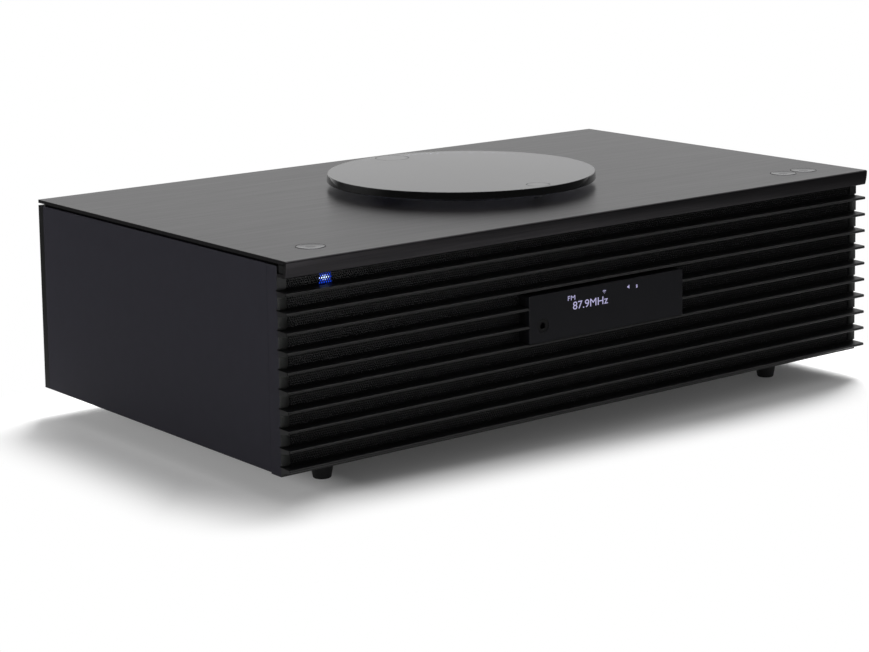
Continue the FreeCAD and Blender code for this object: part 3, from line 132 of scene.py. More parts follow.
# Painted light on the floor that lifts its own shadow: all over, and more at the left end.
floor_glow, left_glow, outer_glow = 0.04, 0.18, 0.03
glow_rise, glow_fall = (-0.165, -0.195), (-0.02, 0.035)
# A bright spot on the floor in front, which only reflections see.
floor_below, bright_spot = 0.13, (-0.22, -0.88, 0.0)
spot_edge, spot_core, spot_level = 0.45, 0.2, 13.0

bpy.ops.mesh.primitive_plane_add(size=2 * floor_reach, location=(*floor_shift, 0))
floor = bpy.context.active_object
floor.name = "studio_floor"
sweep_paint = new_material("matt_white_sweep")
floor_place = add_node(sweep_paint, "TexCoord")
quarter = add_node(sweep_paint, "VectorMath", {0: floor_place.outputs["Object"]},
                   operation="ABSOLUTE")
beyond = add_node(sweep_paint, "VectorMath", {0: quarter.outputs[0], 1: footprint},
                  operation="SUBTRACT")
outside = add_node(sweep_paint, "VectorMath", {0: beyond.outputs[0], 1: (0, 0, 0)},
                   operation="MAXIMUM")
past_edge = add_node(sweep_paint, "VectorMath", {0: outside.outputs[0]}, operation="LENGTH")
sides = add_node(sweep_paint, "SeparateXYZ", {"Vector": beyond.outputs[0]})
nearest_side = add_node(sweep_paint, "Math", {0: sides.outputs["X"], 1: sides.outputs["Y"]},
                        operation="MAXIMUM")
under_edge = add_node(sweep_paint, "Math", {0: nearest_side.outputs[0], 1: 0.0},
                      operation="MINIMUM")
floor_distance = add_node(sweep_paint, "Math", {0: past_edge.outputs["Value"],
                                                1: under_edge.outputs[0]})
floor_axes = add_node(sweep_paint, "SeparateXYZ", {"Vector": floor_place.outputs["Object"]})
from_side = add_node(sweep_paint, "Math", {0: sides.outputs["X"], 1: sides.outputs["Y"]},
                     operation="SUBTRACT")
fade_ends = []
for at_front, at_right, at_left in zip(front_fade, right_fade, left_fade):
    along_front = ramp(sweep_paint, floor_axes.outputs["X"], *front_stretch, at_front, at_right)
    round_corner = ramp(sweep_paint, from_side.outputs[0], *corner_stretch, along_front, at_left)
    fade_ends.append(round_corner)
fade = ramp(sweep_paint, floor_distance.outputs[0], *fade_ends, soft=True)
floor_mottle = add_node(sweep_paint, "TexNoise", {
    "Vector": floor_place.outputs["Object"], "Scale": 6.0, "Detail": 2.0})
floor_tone = ramp(sweep_paint, floor_mottle.outputs["Fac"], 0.0, 1.0, *floor_tones)
paint = add_node(sweep_paint, "BsdfDiffuse", {"Color": floor_tone})
# Painted light: an emission that lifts the floor's shadow near the cabinet, most at its left end.
rise = ramp(sweep_paint, floor_axes.outputs["X"], *glow_rise)
fall = ramp(sweep_paint, floor_distance.outputs[0], *glow_fall, left_glow, outer_glow)
glow = add_node(sweep_paint, "Math", {0: rise, 1: fall, 2: floor_glow},
                operation="MULTIPLY_ADD")
lift = add_node(sweep_paint, "Emission", {"Strength": glow.outputs[0]})
near = add_node(sweep_paint, "AddShader", {0: paint.outputs[0], 1: lift.outputs[0]})
seen_from = add_node(sweep_paint, "VectorMath", {
    0: floor_place.outputs["Object"], 1: (0, 0, -floor_below)})
from_spot = add_node(sweep_paint, "VectorMath", {
    0: floor_place.outputs["Object"], 1: bright_spot}, operation="DISTANCE")
spot = ramp(sweep_paint, from_spot.outputs["Value"], spot_edge, spot_core, 0.0, spot_level,
            soft=True)
floor_camera_ray = add_node(sweep_paint, "LightPath").outputs["Is Camera Ray"]
mirrored_spot = ramp(sweep_paint, floor_camera_ray, 0.0, 1.0, spot, 0.0)
far_level = add_node(sweep_paint, "Math", {
    0: mirrored_level(sweep_paint, seen_from.outputs[0]), 1: mirrored_spot})
far = add_node(sweep_paint, "Emission", {"Strength": far_level.outputs[0]})
shown = add_node(sweep_paint, "MixShader", {0: fade, 1: near.outputs[0], 2: far.outputs[0]})
floor_shader = add_node(sweep_paint, "MixShader", {
    0: seen_ray(sweep_paint), 1: paint.outputs[0], 2: shown.outputs[0]})
add_node(sweep_paint, "OutputMaterial", {"Surface": floor_shader.outputs[0]})
floor.data.materials.append(sweep_paint)

# Studio: the white background that the camera sees, a plain level of light from all round, and
# a large softbox high at the right, behind the cabinet.
plain_level = 0.48
key_power, key_size, key_place = 95.0, 1.3, (1.05, 0.75, 1.55)
look_at = (0.0, 0.0, 0.06)

studio = bpy.data.worlds.new("white_studio")
studio.use_nodes = True
studio.node_tree.nodes.clear()
bpy.context.scene.world = studio
direction = add_node(studio, "TexCoord")
seen_level = mirrored_level(studio, direction.outputs["Generated"])
level = ramp(studio, seen_ray(studio), 0.0, 1.0, plain_level, seen_level)
backdrop = add_node(studio, "Background", {"Strength": level})
add_node(studio, "OutputWorld", {"Surface": backdrop.outputs[0]})
bpy.ops.object.light_add(type="AREA", location=key_place)
key = bpy.context.active_object
key.name = "right_softbox"
key.data.energy = key_power
key.data.size = key_size
key_across, key_along, key_up = [a - b for a, b in zip(key_place, look_at)]
key.rotation_euler = (math.atan2(math.hypot(key_across, key_along), key_up), 0,
                      math.atan2(key_along, key_across) + math.pi / 2)
key.visible_glossy = False


# Feet: four conical feet of black rubber, moulded with a flat sole and a soft lower edge,
# and screwed under the chassis.
mm = 0.001
# A grained finish varies by these shares, and its clouds are so many grains wide.
tone_spread, rough_spread, cloud_grains = 0.08, 0.15, 40


def select_only(piece):
    """Makes the piece the one that is selected and active."""
    bpy.ops.object.select_all(action="DESELECT")
    piece.select_set(True)
    bpy.context.view_layer.objects.active = piece


def apply_modifiers(piece):
    """Applies all modifiers, in their order."""
    select_only(piece)
    for modifier in list(piece.modifiers):
        bpy.ops.object.modifier_apply(modifier=modifier.name)


def smooth(piece, angle=35):
    """Smooth shading where faces meet at less than the angle, flat faces kept flat."""
    select_only(piece)
    bpy.ops.object.shade_smooth_by_angle(angle=math.radians(angle))
    weighting = piece.modifiers.new("even_shading", "WEIGHTED_NORMAL")
    weighting.keep_sharp = True
    weighting.weight = 100
    apply_modifiers(piece)


def face_one_way(piece):
    """Turns all faces of each part of the mesh to one side, outward where it is closed."""
    select_only(piece)
    bpy.ops.object.mode_set(mode="EDIT")
    bpy.ops.mesh.select_all(action="SELECT")
    bpy.ops.mesh.normals_make_consistent(inside=False)
    bpy.ops.object.mode_set(mode="OBJECT")


def tidy_mesh(piece):
    """Merges doubles, closes open rims and turns all faces outward."""
    select_only(piece)
    bpy.ops.object.mode_set(mode="EDIT")
    bpy.ops.mesh.select_all(action="SELECT")
    bpy.ops.mesh.remove_doubles(threshold=0.002 * mm)
    bpy.ops.mesh.fill_holes(sides=0)
    bpy.ops.object.mode_set(mode="OBJECT")
    face_one_way(piece)


def turned(name, outline, sides=96):
    """A turned piece about Z: a ring of the first radius, extruded and resized step by step.
    The outline holds (radius, height) in millimetres; a closed one makes a ring."""
    bpy.ops.object.select_all(action="DESELECT")
    bpy.ops.mesh.primitive_circle_add(vertices=sides, radius=outline[0][0] * mm,
                                      location=(0, 0, outline[0][1] * mm))
    piece = bpy.context.active_object
    piece.name = piece.data.name = name
    bpy.ops.object.transform_apply(location=True, rotation=True, scale=True)
    bpy.ops.object.mode_set(mode="EDIT")
    bpy.ops.mesh.select_all(action="SELECT")
    for (old_radius, old_height), (radius, height) in zip(outline, outline[1:]):
        bpy.ops.mesh.extrude_edges_move(
            TRANSFORM_OT_translate={"value": (0, 0, (height - old_height) * mm)})
        bpy.ops.transform.resize(value=(radius / old_radius, radius / old_radius, 1),
                                 center_override=(0, 0, height * mm))
    bpy.ops.object.mode_set(mode="OBJECT")
    tidy_mesh(piece)
    return piece


def put(piece, across, along, up, turn=None):
    """Moves a finished mesh to its place, in millimetres, turned about X if asked."""
    select_only(piece)
    if turn:
        piece.rotation_euler = (math.radians(turn), 0, 0)
    piece.location = (across * mm, along * mm, up * mm)
    bpy.ops.object.transform_apply(location=True, rotation=True, scale=True)
    return piece


def copy_of(piece, name, across=0, along=0, up=0):
    """A copy with its own mesh, moved by millimetres."""
    twin = piece.copy()
    twin.data = piece.data.copy()
    twin.name = twin.data.name = name
    bpy.context.collection.objects.link(twin)
    return put(twin, across, along, up)


def coat(piece, material, body="cabinet", replaced=()):
    """Gives a new piece its material, the body it rides on and the CAD nodes it stands for."""
    piece.data.materials.clear()
    piece.data.materials.append(material)
    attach(piece, body)
    if replaced:
        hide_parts(*replaced)


def coat_nodes(material, *names):
    """Gives CAD nodes that stay in view their material."""
    for name in names:
        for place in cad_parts[name].material_slots:
            place.material = material


def grained(name, code, roughness, grain, relief, shader=None):
    """A finish with a fine random grain of a real size, in millimetres, that moves its
    roughness and relief a little."""
    material = new_material(name)
    place = add_node(material, "TexCoord")
    speck = add_node(material, "TexNoise", {
        "Vector": place.outputs["Object"], "Scale": 1 / (grain * mm), "Detail": 3.0})
    cloud = add_node(material, "TexNoise", {
        "Vector": place.outputs["Object"], "Scale": 1 / (grain * cloud_grains * mm),
        "Detail": 2.0})
    darker, lighter = [[min(1, c * share) for c in colour(code)[:3]] + [1]
                       for share in (1 - tone_spread, 1 + tone_spread)]
    tone = add_node(material, "MixRGB", {
        "Fac": cloud.outputs["Fac"], "Color1": darker, "Color2": lighter})
    rough = ramp(material, speck.outputs["Fac"], 0.0, 1.0, roughness * (1 - rough_spread),
                 min(1, roughness * (1 + rough_spread)))
    bump = add_node(material, "Bump", {"Height": speck.outputs["Fac"], "Strength": 0.6,
                                       "Distance": relief * mm})
    surface = add_node(material, "BsdfPrincipled", {
        "Base Color": tone.outputs[0], "Roughness": rough,
        "Normal": bump.outputs[0], **(shader or {})})
    add_node(material, "OutputMaterial", {"Surface": surface.outputs[0]})
    return material


foot_outline = [(4.4, 0), (4.9, 0.12), (5.2, 0.5), (5.35, 1.2), (7.7, 14.2), (8.0, 15.6),
                (8.0, 17.0)]
# Moulded rubber: matt black with a fine eroded grain.
rubber = grained("moulded_black_rubber", "1b1b1c", 0.72, 0.35, 0.02)

front_foot = turned("front_left_foot_cone", foot_outline)
smooth(front_foot)
foot_places = {name: [(a + b) / 2 / mm for a, b in zip(*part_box(name))]
               for name in ("front_left_foot", "front_right_foot", "rear_left_foot",
                            "rear_right_foot")}
for name, middle in foot_places.items():
    foot = copy_of(front_foot, name + "_rubber", middle[0], middle[1], 0)
    coat(foot, rubber, replaced=[name])
bpy.data.objects.remove(front_foot)

# Chassis: a folded steel tray, powder coated black, with the round opening of the bass
# driver. Its guard and the screws are plain black steel.
# Powder coat: an even low sheen with a slight orange peel.
powder_coat = grained("black_powder_coated_steel", "161618", 0.55, 0.9, 0.03)
# Steel screws blackened in oil: a low metal sheen.
black_screw = grained("blackened_steel_screw", "26262a", 0.38, 0.25, 0.01, {"Metallic": 1.0})
coat_nodes(powder_coat, "bottom_chassis", "bass_guard")
coat_nodes(black_screw, "case_screws")

# Side panels: flat aluminium sheets, bead blasted and anodised black, with broken edges.
# They are screwed to the deck and the chassis.


def sheet_block(name, low, high, edge=0.3, steps=2):
    """A block between two corners in millimetres, its edges broken by a small bevel."""
    bpy.ops.object.select_all(action="DESELECT")
    middle = [(a + b) / 2 * mm for a, b in zip(low, high)]
    bpy.ops.mesh.primitive_cube_add(size=1, location=middle)
    piece = bpy.context.active_object
    piece.name = piece.data.name = name
    bpy.ops.transform.resize(value=[(b - a) * mm for a, b in zip(low, high)],
                             center_override=middle)
    bpy.ops.object.transform_apply(location=True, rotation=True, scale=True)
    bpy.ops.object.mode_set(mode="EDIT")
    bpy.ops.mesh.select_all(action="SELECT")
    bpy.ops.mesh.bevel(offset=edge * mm, segments=steps, affect="EDGES")
    bpy.ops.object.mode_set(mode="OBJECT")
    smooth(piece)
    return piece


# Blasted and anodised aluminium: near black, soft even sheen, slightly blue.
blasted = grained("blasted_anodised_aluminium", "302f37", 0.62, 0.2, 0.006,
                  {"Metallic": 0.0, "Specular IOR Level": 0.1})
cabinet_half, side_sheet = 225.0, 4.0
side_low, side_high = 17.0, 130.8
side_front, side_back = -121.48, 119.7
side_edge = 0.12
for name, left in (("left_side", -cabinet_half), ("right_side", cabinet_half - side_sheet)):
    panel = sheet_block(name + "_sheet", (left, side_front, side_low),
                        (left + side_sheet, side_back, side_high), side_edge)
    coat(panel, blasted, replaced=[name + "_panel"])

# Upper deck: a moulded plate of black plastic under the top plate. Its plinth stands back
# from the edge and makes the shadow gap.
# Moulded ABS with a fine spark grain: dark and dull.
spark_plastic = grained("spark_grained_black_plastic", "121213", 0.6, 0.4, 0.02,
                        {"Specular IOR Level": 0.3})
coat_nodes(spark_plastic, "upper_deck")

# Top plate: one sheet of black anodised aluminium, brushed from side to side. A slightly
# curved lip folds down at the front; holes are cut for the disc well, the pivot and the
# buttons.
plate_front, plate_back, plate_top = -140.0, 125.0, 134.2
lip_low, lip_curve, lip_steps, lip_return = 124.8, 28.9, 6, -131.35
sheet_thickness, fold_radius, lip_corner_radius = 2.0, 1.0, 0.6
well_hole, pivot_hole, button_hole, rim_break, plate_edge = 62.0, 7.3, 8.2, 0.3, 0.22
disc_along, pivot_along, button_along = -6.5, 64.7, -112.5
button_places = {"power": -190.0, "source": 177.0, "play": 195.5}
# A vertex that is this near to a place, in millimetres, counts as lying there.
slack = 0.1


def pick_vertices(piece, wanted):
    """In edit mode, selects just the vertices whose place in millimetres is wanted."""
    bpy.ops.mesh.select_mode(type="VERT")
    bpy.ops.mesh.select_all(action="DESELECT")
    bpy.ops.object.mode_set(mode="OBJECT")
    for vertex in piece.data.vertices:
        vertex.select = wanted(vertex.co / mm)
    bpy.ops.object.mode_set(mode="EDIT")


bpy.ops.object.select_all(action="DESELECT")
bpy.ops.mesh.primitive_plane_add(
    size=1, location=(0, (plate_front + plate_back) / 2 * mm, plate_top * mm))
plate = bpy.context.active_object
plate.name = plate.data.name = "brushed_top_plate"
bpy.ops.transform.resize(value=(2 * cabinet_half * mm, (plate_back - plate_front) * mm, 1),
                         center_override=tuple(plate.location))
bpy.ops.object.transform_apply(location=True, rotation=True, scale=True)
bpy.ops.object.mode_set(mode="EDIT")
pick_vertices(plate, lambda at: at.y < plate_front + slack)
lip_turn = math.asin((plate_top - lip_low) / lip_curve) / lip_steps
for k in range(lip_steps):
    leans = [lip_curve * math.cos(lip_turn * n) for n in (k, k + 1)]
    drops = [lip_curve * math.sin(lip_turn * n) for n in (k, k + 1)]
    bpy.ops.mesh.extrude_edges_move(TRANSFORM_OT_translate={
        "value": (0, (leans[0] - leans[1]) * mm, (drops[0] - drops[1]) * mm)})
lip_corner = plate_front + lip_curve - leans[1]
bpy.ops.mesh.extrude_edges_move(
    TRANSFORM_OT_translate={"value": (0, (lip_return - lip_corner) * mm, 0)})
bpy.ops.object.mode_set(mode="OBJECT")
thickness = plate.modifiers.new("sheet", "SOLIDIFY")
thickness.thickness = sheet_thickness * mm
thickness.offset = -1
thickness.use_even_offset = True
apply_modifiers(plate)
bpy.ops.object.mode_set(mode="EDIT")
pick_vertices(plate, lambda at: at.y < plate_front + slack and at.z > plate_top - slack)
bpy.ops.mesh.bevel(offset=fold_radius * mm, segments=6, affect="EDGES")
pick_vertices(plate, lambda at: at.z < lip_low + slack and at.y < lip_corner + slack)
bpy.ops.mesh.bevel(offset=lip_corner_radius * mm, segments=4, affect="EDGES")
bpy.ops.object.mode_set(mode="OBJECT")
tidy_mesh(plate)


def cut_from(piece, cutter):
    """Cuts the cutter's shape out of the piece and throws the cutter away."""
    cutting = piece.modifiers.new("cut", "BOOLEAN")
    cutting.operation = "DIFFERENCE"
    cutting.solver = "EXACT"
    cutting.object = cutter
    apply_modifiers(piece)
    bpy.data.objects.remove(cutter)


def plate_hole(radius, along, across=0.0, sides=128):
    """Cuts a round hole through the plate and breaks its upper rim."""
    cutter = turned("hole_cutter", [
        (radius, plate_top - 2 * sheet_thickness), (radius, plate_top - rim_break),
        (radius + rim_break, plate_top), (radius + rim_break + 1, plate_top + 1)], sides)
    cut_from(plate, put(cutter, across, along, 0))


plate_hole(well_hole, disc_along, sides=256)
plate_hole(pivot_hole, pivot_along)
for across in button_places.values():
    plate_hole(button_hole, button_along, across)
edge_break = plate.modifiers.new("edge_break", "BEVEL")
edge_break.limit_method = "ANGLE"
edge_break.angle_limit = math.radians(55)
edge_break.width = plate_edge * mm
edge_break.segments = 2
apply_modifiers(plate)
smooth(plate, 30)

# Brushed and anodised aluminium: long fine scratches from side to side. They are drawn
# 0.7 mm apart, coarser than the real ones, so that they show.
brushed = new_material("brushed_black_anodised_aluminium")
brush_place = add_node(brushed, "TexCoord")
scratch_long, scratch_apart = 30.0, 0.7
streak_long, streak_apart = 70.0, 2.5
brush_spread, brush_roughness = (0.7, 1.3), (0.345, 0.315)
brush_stretch = add_node(brushed, "Mapping", {
    "Vector": brush_place.outputs["Object"],
    "Scale": [1 / (step * mm) for step in (scratch_long, scratch_apart, scratch_apart)]})
scratch = add_node(brushed, "TexNoise", {"Vector": brush_stretch.outputs[0], "Scale": 1.0,
                                         "Detail": 5.0, "Roughness": 0.65})
cloud_stretch = add_node(brushed, "Mapping", {
    "Vector": brush_place.outputs["Object"],
    "Scale": [1 / (step * mm) for step in (streak_long, streak_apart, streak_apart)]})
streak = add_node(brushed, "TexNoise", {"Vector": cloud_stretch.outputs[0], "Scale": 1.0,
                                        "Detail": 3.0})
brush_sum = add_node(brushed, "Math", {0: scratch.outputs["Fac"], 1: streak.outputs["Fac"]})
brush_tone = ramp(brushed, brush_sum.outputs[0], *brush_spread)
brush_colour = add_node(brushed, "MixRGB", {
    "Fac": brush_tone, "Color1": colour("302f31"), "Color2": colour("3d3b3d")})
brush_rough = ramp(brushed, brush_tone, 0.0, 1.0, *brush_roughness)
brush_bump = add_node(brushed, "Bump", {"Height": scratch.outputs["Fac"], "Strength": 0.4,
                                        "Distance": 0.02 * mm})
brush_shader = add_node(brushed, "BsdfPrincipled", {
    "Base Color": brush_colour.outputs[0], "Roughness": brush_rough,
    "Normal": brush_bump.outputs[0], "Metallic": 1.0})
add_node(brushed, "OutputMaterial", {"Surface": brush_shader.outputs[0]})
coat(plate, brushed, replaced=["top_plate"])

# Lip ends: a moulded black plug closes the hollow of the rolled lip at each end.
plug_low, plug_high = (218.0, -137.9, 126.4), (224.6, -131.4, 132.1)
for name, side in (("left_lip_plug", -1), ("right_lip_plug", 1)):
    ends = sorted((plug_low[0] * side, plug_high[0] * side))
    plug = sheet_block(name, (ends[0], *plug_low[1:]), (ends[1], *plug_high[1:]), 1.2, 4)
    coat(plug, spark_plastic)

# Front grille: one moulding of black plastic with two end posts, two rails, ten fins with
# round tips that run the full width, and the case of the display.
fin_tip, fin_root = -139.2, -130.75
first_fin, fin_pitch, fin_count = 20.6, 10.61, 10
fin_half, root_rise, root_drop, tip_round = 0.75, 1.0, 2.4, 0.97
frame_front, frame_back, frame_low, frame_high = -131.0, -121.5, 16.2, 130.8
open_low, open_high, open_half = 19.2, 126.4, 219.0
moulded_edge = 0.15
display_low, display_high = (-58.1, -139.2, 63.9), (62.6, -136.2, 91.7)


def stack(piece, name, count, move):
    """An applied array of count copies, each moved by millimetres, merged where they meet."""
    stacking = piece.modifiers.new(name, "ARRAY")
    stacking.use_relative_offset = False
    stacking.use_constant_offset = True
    stacking.constant_offset_displace = [step * mm for step in move]
    stacking.count = count
    stacking.use_merge_vertices = True
    stacking.merge_threshold = 0.01 * mm
    apply_modifiers(piece)


bpy.ops.object.select_all(action="DESELECT")
fin_middle = (0, (fin_tip + fin_root) / 2 * mm, first_fin * mm)
bpy.ops.mesh.primitive_cube_add(size=1, location=fin_middle)
fins = bpy.context.active_object
fins.name = fins.data.name = "louvre_fins"
bpy.ops.transform.resize(
    value=[side * mm for side in (2 * cabinet_half, fin_root - fin_tip, 2 * fin_half)],
    center_override=fin_middle)
bpy.ops.object.transform_apply(location=True, rotation=True, scale=True)
bpy.ops.object.mode_set(mode="EDIT")
pick_vertices(fins, lambda at: at.y > fin_root - slack and at.z > first_fin)
bpy.ops.transform.translate(value=(0, 0, (root_rise - fin_half) * mm))
pick_vertices(fins, lambda at: at.y > fin_root - slack and at.z < first_fin)
bpy.ops.transform.translate(value=(0, 0, -(root_drop - fin_half) * mm))
pick_vertices(fins, lambda at: at.y < fin_tip + slack)
bpy.ops.mesh.select_mode(type="EDGE")
bpy.ops.object.mode_set(mode="OBJECT")
for edge in fins.data.edges:
    ends = [fins.data.vertices[k].co / mm for k in edge.vertices]
    edge.select = all(at.y < fin_tip + slack for at in ends) and abs(ends[0].x - ends[1].x) > 1
bpy.ops.object.mode_set(mode="EDIT")
bpy.ops.mesh.bevel(offset=fin_half * tip_round * mm, segments=6, affect="EDGES")
bpy.ops.object.mode_set(mode="OBJECT")
stack(fins, "rows", fin_count, (0, 0, fin_pitch))
tidy_mesh(fins)
window_room = sheet_block("window_room", (display_low[0], display_low[1] - 2, display_low[2]),
                          (display_high[0], fin_root + 1, display_high[2]), 0.01)
cut_from(fins, window_room)
end_break = fins.modifiers.new("end_break", "BEVEL")
end_break.limit_method = "ANGLE"
end_break.angle_limit = math.radians(60)
end_break.width = moulded_edge * mm
end_break.segments = 2
apply_modifiers(fins)
smooth(fins, 32)

grille_frame = sheet_block("grille_frame", (-cabinet_half, frame_front, frame_low),
                           (cabinet_half, frame_back, frame_high), moulded_edge)
frame_hole = sheet_block("frame_hole", (-open_half, frame_front - 2, open_low),
                         (open_half, frame_back + 2, open_high))
cut_from(grille_frame, frame_hole)
# A narrow groove above each fin, where the post stands clear of it.
groove_low, groove_high, groove_depth = 0.95, 1.85, 1.2
grooves = sheet_block(
    "grooves", (-cabinet_half - 1, frame_front - 1, first_fin + groove_low),
    (cabinet_half + 1, frame_front + groove_depth, first_fin + groove_high), 0.01, 1)
stack(grooves, "rows", fin_count, (0, 0, fin_pitch))
cut_from(grille_frame, grooves)
smooth(grille_frame)
display_case = sheet_block("display_case", (display_low[0], display_high[1], display_low[2]),
                           (display_high[0], fin_root + 0.2, display_high[2]), moulded_edge)
glass_left, glass_right, glass_low, glass_high = -42.7, 58.6, 66.9, 88.7
case_hole = sheet_block("case_hole", (glass_left, display_high[1] - 2, glass_low),
                        (glass_right, fin_root + 3, glass_high))
cut_from(display_case, case_hole)
# Moulded ABS, satin painted black: the round fin tips catch a thin line of light.
satin_plastic = grained("satin_black_moulded_plastic", "151516", 0.42, 0.35, 0.008,
                        {"Specular IOR Level": 0.3})
coat(fins, satin_plastic, replaced=["front_grille"])
coat(grille_frame, satin_plastic)
# The outer sides of the frame are finished to match the side panels. The fronts of its posts carry
# painted light: a grey lighter than the moulding, so that they look lit where the fins shade them.
post_front_painted_light = grained("post_front_painted_light_grey", "3a3b3a", 0.6, 0.3, 0.01,
                     {"Specular IOR Level": 0.2})
grille_frame.data.materials.append(blasted)
grille_frame.data.materials.append(post_front_painted_light)
# Faces of the outer sides take the side finish; the post fronts take the painted light grey.
for face in grille_frame.data.polygons:
    if abs(face.center.x) > (cabinet_half - 0.5) * mm and abs(face.normal.x) > 0.5:
        face.material_index = 1
    elif abs(face.center.x) > open_half * mm and face.normal.y < -0.5:
        face.material_index = 2
coat(display_case, satin_plastic)

# Perforated mesh: a steel sheet with six-sided holes at 1.5 mm pitch, painted black and held
# behind the fins. It is made in four widths. Each has a band of six rows above every fin, with
# plain edges that the fin roots hide.
mesh_back, mesh_sheet, mesh_shift = -129.8, 0.7, -0.37
hole_pitch, hole_radius = 1.495, 0.62
hole_row = hole_pitch * math.sqrt(3) / 2
cell_radius = hole_pitch / math.sqrt(3)
holes_across, rows_per_band = 73, 6
band_offset, band_half = 4.9, 4.95
display_overlap = 0.8
mesh_names = ("mesh_far_left", "mesh_left", "mesh_right", "mesh_far_right")

bpy.ops.object.select_all(action="DESELECT")
bpy.ops.mesh.primitive_circle_add(vertices=6, radius=hole_radius * mm, fill_type="NOTHING")
cell = bpy.context.active_object
cell.name = cell.data.name = "mesh_cell"
bpy.ops.object.mode_set(mode="EDIT")
bpy.ops.mesh.select_all(action="SELECT")
bpy.ops.mesh.extrude_edges_move()
bpy.ops.transform.resize(value=[cell_radius / hole_radius] * 3, center_override=(0, 0, 0))
bpy.ops.object.mode_set(mode="OBJECT")
select_only(cell)
cell.rotation_euler = (math.pi / 2, 0, 0)
bpy.ops.object.transform_apply(location=True, rotation=True, scale=True)
stack(cell, "row", holes_across, (hole_pitch, 0, 0))
stack(cell, "pair", 2, (hole_pitch / 2, 0, hole_row))
stack(cell, "band", rows_per_band // 2, (0, 0, 2 * hole_row))
band_middle = hole_row * (rows_per_band - 1) / 2
put(cell, 0, 0, -band_middle)
band_reach = band_middle + (cell_radius - slack) / 2
hole_top = band_middle + hole_radius
bpy.ops.object.mode_set(mode="EDIT")
for direction in (1, -1):
    pick_vertices(cell, lambda at: at.z * direction > band_reach
                  and abs(at.z * direction - hole_top) > slack / 2)
    bpy.ops.mesh.select_mode(type="EDGE")
    bpy.ops.mesh.extrude_edges_move()
    bpy.ops.transform.resize(value=(1, 1, 0), center_override=(0, 0, band_half * direction * mm))
bpy.ops.object.mode_set(mode="OBJECT")
band_width = hole_pitch * holes_across
stack(cell, "bands", fin_count, (0, 0, fin_pitch))
# Perforated steel, painted: dull black that hardly reflects.
mesh_paint = grained("painted_perforated_steel", "141415", 0.5, 0.3, 0.004,
                     {"Specular IOR Level": 0.3})
for count, name in enumerate(mesh_names):
    left = band_width * (count - 2) + hole_pitch / 2 + mesh_shift
    width = copy_of(cell, name, left, mesh_back, first_fin + band_offset)
    if name in ("mesh_left", "mesh_right"):
        bpy.ops.object.mode_set(mode="EDIT")
        pick_vertices(width, lambda at: all(
            display_low[k] + display_overlap < at[k] < display_high[k] - display_overlap
            for k in (0, 2)))
        bpy.ops.mesh.delete(type="VERT")
        bpy.ops.mesh.select_all(action="SELECT")
        bpy.ops.mesh.delete_loose()
        bpy.ops.object.mode_set(mode="OBJECT")
    face_one_way(width)
    wall = width.modifiers.new("sheet", "SOLIDIFY")
    wall.thickness = mesh_sheet * mm
    wall.offset = 0
    apply_modifiers(width)
    put(width, 0, -mesh_sheet / 2, 0)
    face_one_way(width)
    coat(width, mesh_paint,
         replaced=["grille_mesh"] if count == 0 else ())
bpy.data.objects.remove(cell)

# Grille cloth: thin black cloth glued to the back of the mesh, so that the drivers can't be
# seen through it. It is cut out for the status lamp and behind the display.
cloth_front, cloth_back, cloth_margin = -129.79, -129.71, 0.3
panel_left, lamp_cut_low, lamp_cut_high = -55.0, (-196.9, 115.7), (-188.9, 122.7)
cloth = sheet_block(
    "grille_cloth", (-open_half + cloth_margin, cloth_front, open_low + cloth_margin),
    (open_half - cloth_margin, cloth_back, open_high - cloth_margin), 0.01, 1)
for name, (left, low), (right, high) in (
        ("cloth_display_cut", (panel_left, glass_low), (glass_right, glass_high)),
        ("cloth_lamp_cut", lamp_cut_low, lamp_cut_high)):
    cut_from(cloth, sheet_block(name, (left, cloth_front - 1, low), (right, cloth_back + 1, high)))
# Knitted polyester, drawn flat: dull and quite black.
knitted_cloth = grained("black_knitted_cloth", "0b0b0b", 0.95, 0.3, 0.01,
                        {"Specular IOR Level": 0.1})
coat(cloth, knitted_cloth)

# Baffle: a black board glued into the grille's frame, which carries the front drivers.
# Pressed wood fibre, sprayed black: flat and slightly fibrous.
sprayed_board = grained("sprayed_fibre_board", "0f0f10", 0.85, 1.2, 0.05,
                        {"Specular IOR Level": 0.2})
coat_nodes(sprayed_board, "front_baffle")

# Status lamp: a block of clear plastic with two small blue diodes behind it. It lights two
# rows of holes in the mesh and colours the holes round them.
lamp_low, lamp_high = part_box("status_lamp")
lamp_middle = (lamp_low + lamp_high) / 2
lamp_power, rim_power = 3.0, 2.0
lamp_trim, lamp_spread = 0.8, 2.8
core_wide, core_high, core_left, core_up = 3.6, 1.5, 0.3, 1.0
core_fade, glow_fade = (0.55, 1.0), (0.7, 1.1)
lamp_low.x += lamp_trim * mm
lamp_high.x += lamp_spread * mm
lamp_block = sheet_block("status_lamp_block", lamp_low / mm, lamp_high / mm, 0.4)
# Diode light in clear plastic: white-blue in the middle and deep blue round it.
diode_light = new_material("blue_diode_light")
lamp_place = add_node(diode_light, "TexCoord")
lamp_centre = add_node(diode_light, "Mapping", {
    "Vector": lamp_place.outputs["Object"],
    "Scale": (1 / (core_wide * mm), 0.0, 1 / (core_high * mm)),
    "Location": (-(lamp_middle.x / mm - core_left) / core_wide, 0,
                 -(lamp_middle.z / mm + core_up) / core_high)})
lamp_distance = add_node(diode_light, "VectorMath", {0: lamp_centre.outputs[0]},
                         operation="LENGTH")
lamp_tone = ramp(diode_light, lamp_distance.outputs["Value"], *core_fade)
lamp_colour = add_node(diode_light, "MixRGB", {
    "Fac": lamp_tone, "Color1": colour("b9d2ff"), "Color2": colour("1238b8")})
lamp_fall = ramp(diode_light, lamp_distance.outputs["Value"], *glow_fade, lamp_power, rim_power)
lamp_glow = add_node(diode_light, "Emission", {"Color": lamp_colour.outputs[0],
                                               "Strength": lamp_fall})
add_node(diode_light, "OutputMaterial", {"Surface": lamp_glow.outputs[0]})
coat(lamp_block, diode_light, replaced=["status_lamp"])

